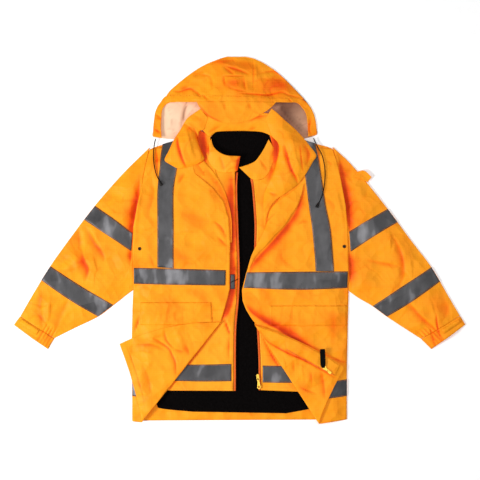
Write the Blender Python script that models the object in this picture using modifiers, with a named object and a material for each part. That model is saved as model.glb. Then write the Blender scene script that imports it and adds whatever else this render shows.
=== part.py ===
"""Hi-vis work jacket lying flat on its back: a hooded outer jacket over a zip-in fleece jacket.

Both jackets are open in front, and the lower front corners of the outer one are folded over.
Every cut piece is a cloth wall, lofted through sections that run from one of its edges to the other.
The tables are in millimetres: X to the wearer's left, Y towards the hood, Z up from the floor.
"""

import math
from collections import namedtuple

import bpy
import numpy as np
from mathutils import Matrix, Vector

MM = 0.001

# Cloth walls
SHELL = 1.2          # coated outer cloth with its backing
FLEECE = 2.5         # fleece back of the inner jacket
INNER = 2.0          # inner jacket's fronts and collar
TAPE = 1.0           # reflective tape
SEAM = 0.6           # clearance between two panels at a seam
LIE = 0.9            # clearance under what lies on a panel

# Heights of the laid cloth
EDGE_TOP = 2.7       # top of the front where it meets the back at a side or a sleeve's edge
FRONT_TOP = 15.0     # top of the front away from its edges
FRONT_REACH = 70.0   # how far in from an edge the cloth rises
INNER_BACK_TOP = 4.0
INNER_FRONT_TOP = 11.6
INNER_EDGE_TOP = 6.6
INNER_REACH = 60.0
HOOD_TOP = 34.0
HOOD_REACH = 130.0
PEAK_DROP = 7.0      # how far the peak comes down to its edge
PEAK_START, PEAK_END = 424.0, 356.0
ROLL = 3.0           # radius of the fold at a turned corner

CORD = 3.0           # drawcord diameter

Row = namedtuple("Row", "ax ay bx by")                   # a section from edge A to edge B
High = namedtuple("High", "ax ay az bx by bz crown")     # with the top's heights and its rise between
Fold = namedtuple("Fold", "px py qx qy cx cy hem_bow front_bow")   # line P-Q, corner C beyond it

# Edges where front and back meet, which the cloth rises from: shoulder to cuff, and cuff to hem
UPPER_LEFT = [(-195, 312), (-279, 285), (-362, 203), (-447, 106), (-481, 63), (-585, -81), (-613, -124),
              (-677, -235), (-697, -262)]
LOWER_LEFT = [(-592, -337), (-572, -303), (-438, -237), (-391, -202), (-332, -155), (-333, -291), (-332, -575)]
UPPER_RIGHT = [(197, 314), (288, 287), (353, 224), (405, 182), (457, 96), (487, 55), (592, -84), (618, -128),
               (680, -234), (697, -261)]
LOWER_RIGHT = [(592, -337), (560, -305), (455, -237), (410, -204), (338, -157), (334, -265), (331, -575)]
ARMHOLE_LEFT = [(-279, 285), (-290, 235), (-301, 172), (-316, 106), (-328, 40), (-330, -36), (-329, -154)]
ARMHOLE_RIGHT = [(288, 287), (299, 245), (313, 182), (327, 106), (334, 26), (335, -36), (337, -157)]
HOOD_ARC = [(-268, 318), (-262, 397), (-241, 425), (-211, 466), (-162, 506), (-115, 537), (-60, 561), (-12, 567),
            (50, 558), (110, 525), (165, 474), (216, 417), (232, 385), (239, 322)]

LEFT, RIGHT = -1, 1
FOLD_LEFT = Fold(-58, -247, -307, -562, -50, -574, -6, 20)
FOLD_RIGHT = Fold(47, -255, 249, -566, 53, -568, -5, 14)


def through(rows, steps):
    """A smooth curve through the rows of a table, with this many steps between two of them."""
    p = np.array(rows, float)
    p = np.vstack([2 * p[0] - p[1], p, 2 * p[-1] - p[-2]])
    t = (np.arange(steps) / steps)[:, None]
    spans = [
        0.5 * (2 * b + (c - a) * t + (2 * a - 5 * b + 4 * c - d) * t**2 + (3 * b - a - 3 * c + d) * t**3)
        for a, b, c, d in zip(p, p[1:], p[2:], p[3:])
    ]
    return np.vstack(spans + [p[-2:-1]])


def from_line(x, y, line):
    """How far each point is from a line of straight pieces."""
    best = np.full(np.shape(x), np.inf)
    for (ax, ay), (bx, by) in zip(line, line[1:]):
        dx, dy = bx - ax, by - ay
        t = np.clip(((x - ax) * dx + (y - ay) * dy) / (dx * dx + dy * dy), 0, 1)
        best = np.minimum(best, np.hypot(x - ax - t * dx, y - ay - t * dy))
    return best


def rise(distance, reach):
    return np.sin(math.pi / 2 * np.clip(distance / reach, 0, 1))


def front_top(x, y):
    """Top of the outer fronts, sleeves and cuffs: low along the outline, high inside."""
    x, y = np.asarray(x, float), np.asarray(y, float)
    inside = [from_line(x, y, line) for line in (UPPER_LEFT, LOWER_LEFT, UPPER_RIGHT, LOWER_RIGHT)]
    off_body = (y < -180) & (((x < -332.5) & (x > -430) & (y < -250)) | ((x > 333.5) & (x < 430) & (y < -250)))
    distance = np.where(off_body, 0, np.min(inside, axis=0))
    return EDGE_TOP + (FRONT_TOP - EDGE_TOP) * rise(distance, FRONT_REACH)


def inner_top(x, y):
    """Top of the inner jacket's fronts, which come down to its back at the sides."""
    side = np.maximum(256 - np.abs(np.asarray(x, float)), 0)
    return INNER_EDGE_TOP + (INNER_FRONT_TOP - INNER_EDGE_TOP) * rise(side, INNER_REACH)


def hood_top(x, y):
    """Top of the hood's crown and brim: a low dome from the hood's edge."""
    return EDGE_TOP + (HOOD_TOP - EDGE_TOP) * rise(from_line(x, y, HOOD_ARC), HOOD_REACH)


def peak_top(x, y):
    drop = np.clip((PEAK_START - y) / (PEAK_START - PEAK_END), 0, 1)
    return hood_top(x, y) - PEAK_DROP * drop**1.5


def armhole(side, y, inset=SEAM):
    """The point of the armhole seam at this height, moved in towards the body."""
    line = np.array(ARMHOLE_LEFT if side == LEFT else ARMHOLE_RIGHT, float)[::-1]
    return float(np.interp(y, line[:, 1], line[:, 0])) - side * inset, y


# The outer jacket's panels, from the shoulder down. A is the outer edge and B the front one.
BACK = [
    Row(-200, 304, 197, 306), Row(*armhole(LEFT, 279, 3), *armhole(RIGHT, 281, 3)),
    Row(*armhole(LEFT, 235), *armhole(RIGHT, 245)), Row(*armhole(LEFT, 172), *armhole(RIGHT, 182)),
    Row(*armhole(LEFT, 106), *armhole(RIGHT, 106)), Row(*armhole(LEFT, 40), *armhole(RIGHT, 26)),
    Row(*armhole(LEFT, -36), *armhole(RIGHT, -36)), Row(*armhole(LEFT, -152), *armhole(RIGHT, -155)),
    Row(-333, -291, 334, -265), Row(-332, -430, 331, -430), Row(-332, -558, 331, -554),
]
FRONT_LEFT = [
    Row(*armhole(LEFT, 280, 3), -150, 300), Row(*armhole(LEFT, 235), -150, 262), Row(*armhole(LEFT, 172), -138, 206),
    Row(*armhole(LEFT, 106), -79, 158), Row(*armhole(LEFT, 40), -50, 120), Row(*armhole(LEFT, -36), -34, 68),
    Row(*armhole(LEFT, -95), -29, -8), Row(*armhole(LEFT, -152), -31, -90), Row(-331, -210, -31, -150),
    Row(-332.5, -290, -38, -182), Row(-333, -385, -45, -206), Row(-332, -475, -51, -226), Row(-331, -560, -55, -239),
]
FRONT_RIGHT = [
    Row(*armhole(RIGHT, 282, 3), 160, 290), Row(*armhole(RIGHT, 245), 158, 255), Row(*armhole(RIGHT, 182), 152, 190),
    Row(*armhole(RIGHT, 106), 118, 120), Row(*armhole(RIGHT, 26), 86, 46), Row(*armhole(RIGHT, -36), 55, -7),
    Row(*armhole(RIGHT, -95), 41, -41), Row(*armhole(RIGHT, -155), 20, -102), Row(333.5, -220, 7, -154),
    Row(332.5, -300, 9, -187), Row(331, -390, 20, -215), Row(331, -475, 34, -238), Row(331, -554, 42, -249),
]
# Sleeves and cuffs, from the shoulder out. A is the upper edge and B the lower one.
SLEEVE_LEFT = [
    Row(-279, 285, -329, -154), Row(-362, 203, -345, -166), Row(-447, 106, -365, -182), Row(-520, 10, -391, -202),
    Row(-585, -81, -438, -237), Row(-640, -171, -510, -272), Row(-677, -235, -572, -303),
]
CUFF_LEFT = [Row(-677.5, -235.8, -572.5, -303.8), Row(-688, -249, -583, -321), Row(-697, -262, -592, -337)]
SLEEVE_RIGHT = [
    Row(288, 287, 337, -157), Row(353, 224, 350, -167), Row(457, 96, 372, -182), Row(525, 4, 410, -204),
    Row(592, -84, 455, -237), Row(643, -171, 510, -273), Row(680, -234, 560, -305),
]
CUFF_RIGHT = [Row(680.5, -234.8, 560.5, -305.8), Row(689, -248, 576, -321), Row(697, -261, 592, -337)]
# The cuff straps' two ends, from cuff seam to cuff end
CUFF_TABS = {
    "cuff_tab_left": [Row(-672, -243, -681, -254), Row(-617, -279, -626, -292)],
    "cuff_tab_right": [Row(676, -243, 684, -253), Row(622, -277, 630, -289)],
}

# The collar: A is the free outer edge and B the neck side, from the front up to the back
COLLAR_LEFT = [
    High(-190, 219, 18.0, -163, 223, 18.5, 1), High(-214, 232, 18.5, -128, 235, 19.5, 7),
    High(-231, 247, 18.5, -109, 249, 20.0, 13), High(-217, 277, 17.5, -118, 277, 20.0, 16),
    High(-204, 306, 17.0, -128, 305, 20.0, 16), High(-186, 335, 17.5, -134, 337, 21.0, 13),
    High(-163, 371, 19.0, -141, 352, 22.0, 7),
]
COLLAR_RIGHT = [
    High(79, 44, 18.5, 73, 44, 17.5, 0), High(85, 80, 18.8, 72, 90, 17.5, 1), High(106, 118, 19.0, 73, 128, 17.0, 3),
    High(140, 142, 19.2, 79, 155, 17.0, 6), High(180, 172, 19.2, 91, 178, 17.5, 10),
    High(205, 205, 19.2, 101, 207, 18.0, 13), High(225, 240, 18.6, 113, 243, 19.0, 14),
    High(236, 260, 18.4, 120, 268, 20.0, 14), High(218, 287, 18.0, 121, 285, 20.5, 15),
    High(198, 312, 17.5, 116, 301, 21.0, 14), High(172, 340, 18.0, 100, 322, 22.0, 11),
    High(140, 366, 19.5, 100, 344, 22.5, 6),
]
# The collar behind the neck: A is under the peak and B is the neck edge
COLLAR_BACK = [
    High(-150, 382, 24, -130, 338, 18.9, 2), High(-122, 388, 25, -98, 313, 16.0, 4),
    High(-98, 390, 25.5, -82, 326, 15.0, 5), High(-68, 390, 26, -66, 334, 14.5, 5), High(0, 390, 26, 0, 335, 14.5, 5),
    High(58, 390, 26, 58, 334, 14.5, 5), High(82, 388, 25.5, 84, 330, 16.0, 4), High(112, 380, 23.5, 95, 327, 18.6, 1),
]
# The left front's inner facing, and the right front's storm flap, turned out
FACING_LEFT = [
    High(-152, 215, 13.2, -110, 244, 15.5, 0), High(-116, 183, 13.2, -78, 207, 14.0, 0),
    High(-84, 156, 13.2, -49, 158, 13.4, 0), High(-55, 118, 13.2, -33, 108, 13.2, 0),
    High(-39, 66, 13.2, -25, 62, 13.2, 0), High(-34, -8, 13.2, -24, -8, 13.2, 0),
]
STORM_FLAP = [
    High(198, 174, 18.0, 188, 169, 18.0, 0), High(190, 138, 18.0, 160, 149, 17.6, 1),
    High(178, 105, 17.6, 124, 124, 17.2, 3), High(160, 77, 17.4, 94, 93, 17.0, 5),
    High(139, 44, 17.4, 82, 48, 17.0, 5), High(110, 15, 17.4, 66, 12, 17.0, 4), High(83, -15, 17.4, 55, -9, 17.0, 3),
    High(49, -51, 17.4, 37, -46, 17.0, 1), High(30, -87, 17.4, 25, -85, 17.0, 0),
]

# The hood, up the page. A is its left edge and B its right one
HOOD_BACK = [
    Row(-198, 310.5, 195, 312), Row(-266, 319, 237, 325), Row(-265, 345, 237, 348), Row(-261, 395, 230, 385),
    Row(-240, 425, 209, 424), Row(-210, 465, 171, 466), Row(-163, 505, 132, 504), Row(-115, 536, 90, 536),
    Row(-66, 557, 50, 556), Row(-40, 564, 18, 564),
]
HOOD_CROWN = [
    Row(-226, 446.6, 200, 434.4), Row(-210, 466, 172, 464), Row(-162, 506, 131, 505), Row(-115, 537, 92, 535),
    Row(-66, 558, 50, 557.5), Row(-40, 565.6, 19, 565.6),
]
# The gathered brim, from the left bottom corner round to the right one. A is its outer edge
HOOD_BRIM = [
    Row(-268, 319, -241, 315), Row(-267, 345, -243, 343), Row(-264, 375, -242, 375), Row(-259, 400, -238, 404),
    Row(-245, 424, -222, 422), Row(-222, 444.2, -198, 425), Row(-165, 443.4, -160, 426), Row(-60, 440.7, -60, 426),
    Row(60, 437.1, 60, 426), Row(140, 434.8, 140, 425), Row(188, 433.3, 176, 423), Row(212, 419, 193, 408),
    Row(228, 392, 205, 388), Row(236, 360, 210, 356), Row(239, 325, 212, 319),
]
HOOD_PEAK = [
    Row(-133, 425, 113, 424.4), Row(-122, 406, 94, 405), Row(-107, 389, 72, 390), Row(-86, 374, 48, 376),
    Row(-62, 363, 22, 365), Row(-42, 358.5, -6, 359.5),
]

# The inner jacket
INNER_BACK = [
    Row(-78, 331, 88, 331), Row(-110, 300, 112, 300), Row(-200, 250, 200, 250), Row(-240, 100, 240, 100),
    Row(-250, -200, 250, -200), Row(-257, -470, 252, -470), Row(-255, -510, 250, -512), Row(-237, -521, 213, -522),
    Row(-145, -530, 144, -535),
]
INNER_LEFT = [
    Row(-190, 235, -14, 214), Row(-225, 100, -14, 151), Row(-240, 0, -11, 32), Row(-245, -100, -7, -99),
    Row(-248, -200, -10, -185), Row(-251, -330, -18, -288), Row(-251, -440, -19, -440), Row(-222, -464, -19, -465),
]
INNER_RIGHT = [
    Row(190, 200, 39.8, 196), Row(205, 150, 44.8, 160), Row(225, 100, 49.8, 100), Row(240, 40, 52.8, 40),
    Row(245, -60, 50.8, -40), Row(248, -160, 51.8, -150), Row(250, -290, 59.8, -272), Row(250, -380, 64.8, -365),
    Row(248, -470, 65.8, -463),
]
# The inner fronts' zip edges. A is the panel's side and B the opening's
INNER_ZIP_LEFT = [
    Row(-11, 208, -6, 209), Row(-13, 151, -8, 151), Row(-10, 32, -4, 32), Row(-6, -99, 0, -99),
    Row(-9, -185, -3, -185), Row(-17, -288, -11, -288), Row(-18, -465, -12, -465),
]
INNER_ZIP_RIGHT = [
    Row(39, 196, 33, 188), Row(44, 160, 38, 160), Row(49, 100, 43, 100), Row(52, 40, 46, 40), Row(50, -40, 45, -40),
    Row(51, -150, 45, -150), Row(59, -272, 53, -270), Row(64, -365, 58, -365), Row(65, -463, 59, -463),
]
INNER_COLLAR_LEFT = [
    High(2, 258, 20, -7, 212, 14.0, 3), High(-20, 259, 21, -34, 208, 14.0, 4), High(-41, 261, 21, -60, 209, 14.0, 4),
    High(-62, 270, 20, -78, 220, 14.0, 4), High(-79, 286, 18, -93, 239, 14.0, 3), High(-86, 303, 17, -102, 262, 14.0, 2),
    High(-87, 312, 16, -102, 284, 14.0, 1),
]
INNER_COLLAR_RIGHT = [
    High(-2, 224, 17, 33, 190, 14.0, 2), High(16, 229, 19, 50, 184, 14.0, 3), High(45, 241, 20, 72, 188, 14.0, 4),
    High(61, 259, 20, 88, 204, 14.0, 4), High(73, 278, 18, 101, 235, 14.0, 3), High(83, 297, 17, 110, 262, 14.0, 2),
    High(89, 310, 16, 104, 286, 14.0, 1),
]

# Reflective tapes. A and B are the two long edges
BRACE_LEFT = [
    Row(-238, 296, -197, 307), Row(-243, 262, -193, 262), Row(-246, 220, -194, 220), Row(-253, 155, -204, 150),
    Row(-253, 40, -204, 40), Row(-253, -84, -204, -87.5),
]
BRACE_RIGHT = [
    Row(194, 310, 233, 299), Row(196, 250, 244, 244), Row(205, 170, 256, 165), Row(214, 100, 266, 100),
    Row(224, 30, 280, 30), Row(232, -60, 288, -60), Row(234, -96, 290, -96.5),
]
WAIST_LEFT = [Row(-326, -86, -326, -135), Row(-190, -89, -190, -138), Row(-43, -93, -44, -140)]
WAIST_RIGHT = [Row(22, -100, 12, -147), Row(180, -98, 180, -153), Row(333, -97, 332, -148)]
HEM_TAPE_LEFT = [Row(-331.5, -432, -331.5, -482), Row(-300, -434, -300, -484), Row(-262, -436, -262, -486)]
HEM_TAPE_RIGHT = [Row(331, -430, 331, -481), Row(300, -434, 300, -485), Row(262, -438, 262, -489)]
SLEEVE_TAPES = {
    "sleeve_tape_upper_left": [Row(-447, 105, -480.5, 63), Row(-390, 66, -415, 20), Row(-331, 21, -334, -34)],
    "sleeve_tape_lower_left": [Row(-585, -81, -612.5, -124), Row(-490, -142, -520, -187), Row(-391, -201, -437, -236)],
    "sleeve_tape_upper_right": [Row(457, 96, 487, 55), Row(397, 62, 417, 14), Row(337.5, 26, 342, -36)],
    "sleeve_tape_lower_right": [Row(592, -84, 618, -128), Row(500, -144, 530, -190), Row(411, -204, 455, -236.5)],
}
INNER_TAPE_LEFT = [Row(-205, -384, -205, -434), Row(-110, -384, -110, -436), Row(-26, -382, -26, -435)]
INNER_TAPE_RIGHT = [Row(71, -387, 71, -439), Row(130, -388, 130, -440), Row(185, -388, 185, -440)]
INNER_WAIST_PATCH = [Row(-29, -106, -29, -151), Row(-15, -106, -15, -151)]

POCKET_LEFT = [Row(-306, -192, -306, -262), Row(-200, -192, -200, -262), Row(-88, -192, -84, -262)]
POCKET_RIGHT = [Row(92, -202, 92, -264), Row(210, -202, 210, -264), Row(330, -202, 330, -264)]
SLEEVE_LOOP = [Row(360, 210, 352, 194), Row(384, 214, 372, 190), Row(407, 194, 395, 178)]
# Facing on the turned right corner, which the zip is sewn to: share of the way along the corner's front
# edge, and how wide it is there
ZIP_FACING = [(0.2, 22), (0.36, 34), (0.55, 40), (0.8, 40), (0.95, 34)]
ZIP_FACING_INSET = 3.0

EYELETS = {"eyelet_left": (-308, -27), "eyelet_right": (322, -20)}
EYELET_RADIUS, EYELET_WIRE = 4.5, 1.2

# Drawcords, from the hood's lower corners: x and y of the route
CORD_LEFT = [(-259, 312), (-262, 300), (-265, 280), (-266, 258), (-264, 236), (-260, 214), (-254, 196), (-247, 182)]
CORD_RIGHT = [(228, 314), (234, 300), (243, 282), (252, 266), (258, 246), (262, 222), (263, 198), (261, 172),
              (257, 148), (251, 130), (244, 115)]
SMALL_CORD = [(-27, -131), (-22, -127), (-16, -126), (-10, -123), (-5, -119)]
SMALL_CORD_RADIUS, SMALL_CORD_UP = 1.0, 1.8
CORD_END_LENGTH, CORD_END_NECK, CORD_END_MOUTH = 16.0, 3.0, 5.0

# Zip sliders and pulls: the slider's middle, the way the pull points, and its length
Pull = namedtuple("Pull", "x y heading length width ground")
INNER_PULL = Pull(56, -420, -84, 40, 11, INNER_FRONT_TOP)
OUTER_PULL = Pull(276, -406, 139, 27, 11, None)
SLIDER_LENGTH, SLIDER_WIDTH, SLIDER_HEIGHT = 13.0, 9.0, 3.0
SLIDER_LIE = 0.3     # clearance under a slider
PULL_THICK = 1.6
PULL_CLEAR = 0.5     # between slider and pull, whose hinge is across the pull's end
TAG_LENGTH, TAG_WIDTH, TAG_THICK = 58.0, 16.0, 1.6
TAG_HEADING = 92
TAG_ON_PULL = 4.0    # how far the tag's end lies over the pull's


# Where points go across a front: closer together near the side, where the cloth comes down
FRONT_SHARES = [0, 0.06, 0.13, 0.21, 0.3, 0.44, 0.58, 0.72, 0.86, 1]


def clear_scene():
    for obj in list(bpy.data.objects):
        bpy.data.objects.remove(obj, do_unlink=True)


def material(name, red, green, blue, roughness, metallic=0.0):
    """A plain finish, its colour given on the 0 to 255 screen scale."""
    made = bpy.data.materials.new(name)
    made.use_nodes = True
    shader = made.node_tree.nodes["Principled BSDF"]
    linear = [(v / 255 / 12.92) if v <= 10 else ((v / 255 + 0.055) / 1.055) ** 2.4 for v in (red, green, blue)]
    shader.inputs["Base Color"].default_value = (*linear, 1)
    shader.inputs["Roughness"].default_value = roughness
    shader.inputs["Metallic"].default_value = metallic
    return made


def add(name, mesh, finish):
    obj = bpy.data.objects.new(name, mesh)
    obj.data.materials.append(finish)
    COLLECTION.objects.link(obj)
    return obj


def sections(rows, across, steps):
    """Points of a panel, [along, across]: straight across each section, smooth from one to the next.
    The points across are evenly spread, or at the shares of the way that a list gives."""
    curve = through(rows, steps)
    t = (np.linspace(0, 1, across + 1) if isinstance(across, int) else np.array(across))[None, :, None]
    if curve.shape[1] == len(Row._fields):
        a, b = curve[:, None, :2], curve[:, None, 2:]
        return a * (1 - t) + b * t
    a, b, crown = curve[:, None, :3], curve[:, None, 3:6], curve[:, None, 6:]
    points = a * (1 - t) + b * t
    points[..., 2:] += crown * np.sin(math.pi * t)
    return points


def laid(points, top, lift=0.0):
    """Plan points with their height from the cloth that they lie on."""
    x, y = points[..., 0], points[..., 1]
    return np.dstack([x, y, top(x, y) + lift])


def loft(name, points, wall, finish, ring=False):
    """A cloth wall whose outer face goes through a grid of points. A ring closes round on itself."""
    rows, columns = points.shape[:2]
    mesh = bpy.data.meshes.new(name)
    spans = columns if ring else columns - 1
    faces = [
        (r * columns + c, r * columns + (c + 1) % columns, (r + 1) * columns + (c + 1) % columns,
         (r + 1) * columns + c)
        for r in range(rows - 1)
        for c in range(spans)
    ]
    mesh.from_pydata((points.reshape(-1, 3) * MM).tolist(), [], faces)
    mesh.update()
    # The wall grows inwards from the outer face, so the faces have to look up, or out of a ring
    first = mesh.polygons[0].normal.z
    if ring:
        middle = points.mean(axis=1)
        corner = points[0, 0] - middle[0]
        first = Vector(mesh.polygons[0].normal).dot(Vector(corner))
    if first < 0:
        mesh.flip_normals()
    obj = add(name, mesh, finish)
    shell = obj.modifiers.new("wall", "SOLIDIFY")
    shell.thickness = wall * MM
    shell.offset = -1
    mesh.shade_smooth()
    return obj


def corner_rows(fold):
    """Sections of the corner beyond its fold line, in the flat cut: close together on the roll."""
    p, q, c = np.array(fold[0:2]), np.array(fold[2:4]), np.array(fold[4:6])
    along = (q - p) / np.linalg.norm(q - p)
    depth = abs(along[0] * (c - p)[1] - along[1] * (c - p)[0])
    on_roll = [math.pi * ROLL * k / 4 / depth for k in range(1, 5)]
    on_flap = np.linspace(on_roll[-1], 0.99, 7)[1:]
    out_front, out_hem = edge_outward(p, c, q), edge_outward(q, c, p)
    rows = []
    for u in [0.0, *on_roll, *on_flap]:
        arch = 4 * u * (1 - u)
        a = q + (c - q) * u + out_hem * fold.hem_bow * arch
        b = p + (c - p) * u + out_front * fold.front_bow * arch
        rows.append((*a, *b))
    return rows


def edge_outward(start, end, inner):
    """The direction across an edge, away from a point inside."""
    along = (end - start) / np.linalg.norm(end - start)
    across = np.array([along[1], -along[0]])
    return across if across.dot(inner - start) < 0 else -across


def turned_over(points, fold):
    """Flat points laid out, those beyond the fold line turned back over the panel, and how far up the roll
    lifts each."""
    p, q, c = np.array(fold[0:2]), np.array(fold[2:4]), np.array(fold[4:6])
    out = edge_outward(p, q, 2 * p - c)
    beyond = (points - p) @ out
    foot = points - beyond[..., None] * out
    angle = np.clip(beyond / ROLL, 0, math.pi)
    reach = np.where(beyond <= 0, beyond, ROLL * np.sin(angle) - np.maximum(beyond - math.pi * ROLL, 0))
    plan = foot + reach[..., None] * out
    return laid(plan, front_top), np.where(beyond > 0, ROLL * (1 - np.cos(angle)), 0)


def front_panel(name, rows, fold, finish):
    upper = sections(rows, FRONT_SHARES, 1)
    corner = sections(corner_rows(fold), FRONT_SHARES, 1)
    flat = np.concatenate([upper, corner])
    points, lift = turned_over(flat, fold)
    points[..., 2] += lift
    return loft(name, points, SHELL, finish)


def sleeve(name, rows, side, finish, steps):
    """A flattened tube: the top follows the laid cloth and the underside lies on the floor.
    A side is given where the tube starts at the armhole's curve."""
    line = ARMHOLE_LEFT if side == LEFT else ARMHOLE_RIGHT
    shares = [(line[0][1] - y) / (line[0][1] - line[-1][1]) for _, y in line]
    plan = sections(rows, shares, steps)
    if side is not None:
        first = plan[0]
        seam = np.array([armhole(side, y, 0) for y in first[:, 1]])
        fade = np.clip(1 - np.arange(len(plan)) / (1.5 * steps), 0, 1)
        plan[..., 0] += fade[:, None] * (seam[:, 0] - first[:, 0])[None, :]
    top = laid(plan, front_top)
    under = top[:, ::-1].copy()
    under[..., 2] = 0
    return loft(name, np.concatenate([top, under], axis=1), SHELL, finish, ring=True)


def strip(name, rows, finish, top=front_top, lift=LIE + TAPE, wall=TAPE, across=3, steps=6):
    return loft(name, laid(sections(rows, across, steps), top, lift), wall, finish)


def zip_facing(finish):
    """The band along the front edge of the turned right corner, on its upper side."""
    fold = FOLD_RIGHT
    p, q, c = np.array(fold[0:2]), np.array(fold[2:4]), np.array(fold[4:6])
    out = edge_outward(p, c, q)
    rows = []
    for share, width in ZIP_FACING:
        edge = p + (c - p) * share + out * fold.front_bow * 4 * share * (1 - share)
        rows.append((*(edge - out * ZIP_FACING_INSET), *(edge - out * (ZIP_FACING_INSET + width))))
    points, lift = turned_over(sections(rows, 2, 3), fold)
    points[..., 2] += lift + SHELL + LIE + TAPE
    return loft("zip_facing", points, TAPE, finish)


def flap_top(x, y):
    """Top of the turned corners, which lie two roll radii over the front."""
    return front_top(x, y) + 2 * ROLL + SHELL


def tube(name, points, radius, finish):
    """A round cord through the points, closed at both ends."""
    data = bpy.data.curves.new(name, "CURVE")
    data.dimensions = "3D"
    data.bevel_depth = radius * MM
    data.bevel_resolution = 2
    data.use_fill_caps = True
    line = data.splines.new("POLY")
    line.points.add(len(points) - 1)
    for spot, point in zip(line.points, points):
        spot.co = (*(np.array(point) * MM), 1)
    obj = bpy.data.objects.new(name, data)
    obj.data.materials.append(finish)
    COLLECTION.objects.link(obj)
    return obj


def cord_route(points):
    """The drawcord's middle: on the floor beside the hood, and up on the tape over the front."""
    plan = through(points, 3)
    x, y = plan[:, 0], plan[:, 1]
    height = front_top(x, y) + LIE + TAPE + CORD / 2 + 0.9
    height[0] = max(height[0], 3.4)
    return np.column_stack([x, y, height])


def turned(name, profile, start, heading, finish):
    """A turned piece lying along its heading: the profile's rows are (radius, way along)."""
    mesh = bpy.data.meshes.new(name)
    points = [(radius * MM, 0, along * MM) for radius, along in profile]
    mesh.from_pydata(points, [(k, k + 1) for k in range(len(points) - 1)], [])
    obj = add(name, mesh, finish)
    screw = obj.modifiers.new("turn", "SCREW")
    screw.steps = screw.render_steps = 12
    screw.use_merge_vertices = True
    screw.merge_threshold = 0.0001
    turn = Vector(heading).to_track_quat("Z", "Y").to_matrix().to_4x4()
    obj.matrix_world = Matrix.Translation(Vector(start) * MM) @ turn
    return obj


def slab(name, centre, heading, length, width, thick, finish, bevel=0.4):
    """A small flat plate, long along its heading in degrees."""
    bpy.ops.mesh.primitive_cube_add(size=1)
    obj = bpy.context.object
    obj.name = obj.data.name = name
    for old in obj.users_collection:
        old.objects.unlink(obj)
    COLLECTION.objects.link(obj)
    obj.data.transform(Matrix.Diagonal((length * MM, width * MM, thick * MM, 1)))
    obj.data.materials.append(finish)
    edge = obj.modifiers.new("edges", "BEVEL")
    edge.width = bevel * MM
    edge.segments = 2
    obj.matrix_world = Matrix.Translation(Vector(centre) * MM) @ Matrix.Rotation(math.radians(heading), 4, "Z")
    return obj


def ring(name, centre, radius, wire, finish):
    bpy.ops.mesh.primitive_torus_add(
        major_radius=radius * MM, minor_radius=wire * MM, major_segments=14, minor_segments=6)
    obj = bpy.context.object
    obj.name = obj.data.name = name
    for old in obj.users_collection:
        old.objects.unlink(obj)
    COLLECTION.objects.link(obj)
    obj.data.materials.append(finish)
    obj.location = Vector(centre) * MM
    return obj


def zip_pull(prefix, pull, ground, finish):
    """A slider and its pull, which swings over the slider about its own end. Returns the pull's tip."""
    turn = math.radians(pull.heading)
    way = np.array([math.cos(turn), math.sin(turn), 0])
    slider = np.array([pull.x, pull.y, ground + SLIDER_LIE + SLIDER_HEIGHT / 2])
    slab(prefix + "_slider", slider, pull.heading, SLIDER_LENGTH, SLIDER_WIDTH, SLIDER_HEIGHT, finish, 1.0)
    hinge = slider + np.array([0, 0, SLIDER_HEIGHT / 2 + PULL_CLEAR + PULL_THICK / 2])
    middle = hinge + way * (pull.length - PULL_THICK) / 2
    slab(prefix + "_pull", middle, pull.heading, pull.length, pull.width, PULL_THICK, finish)
    return middle + way * pull.length / 2


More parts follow.
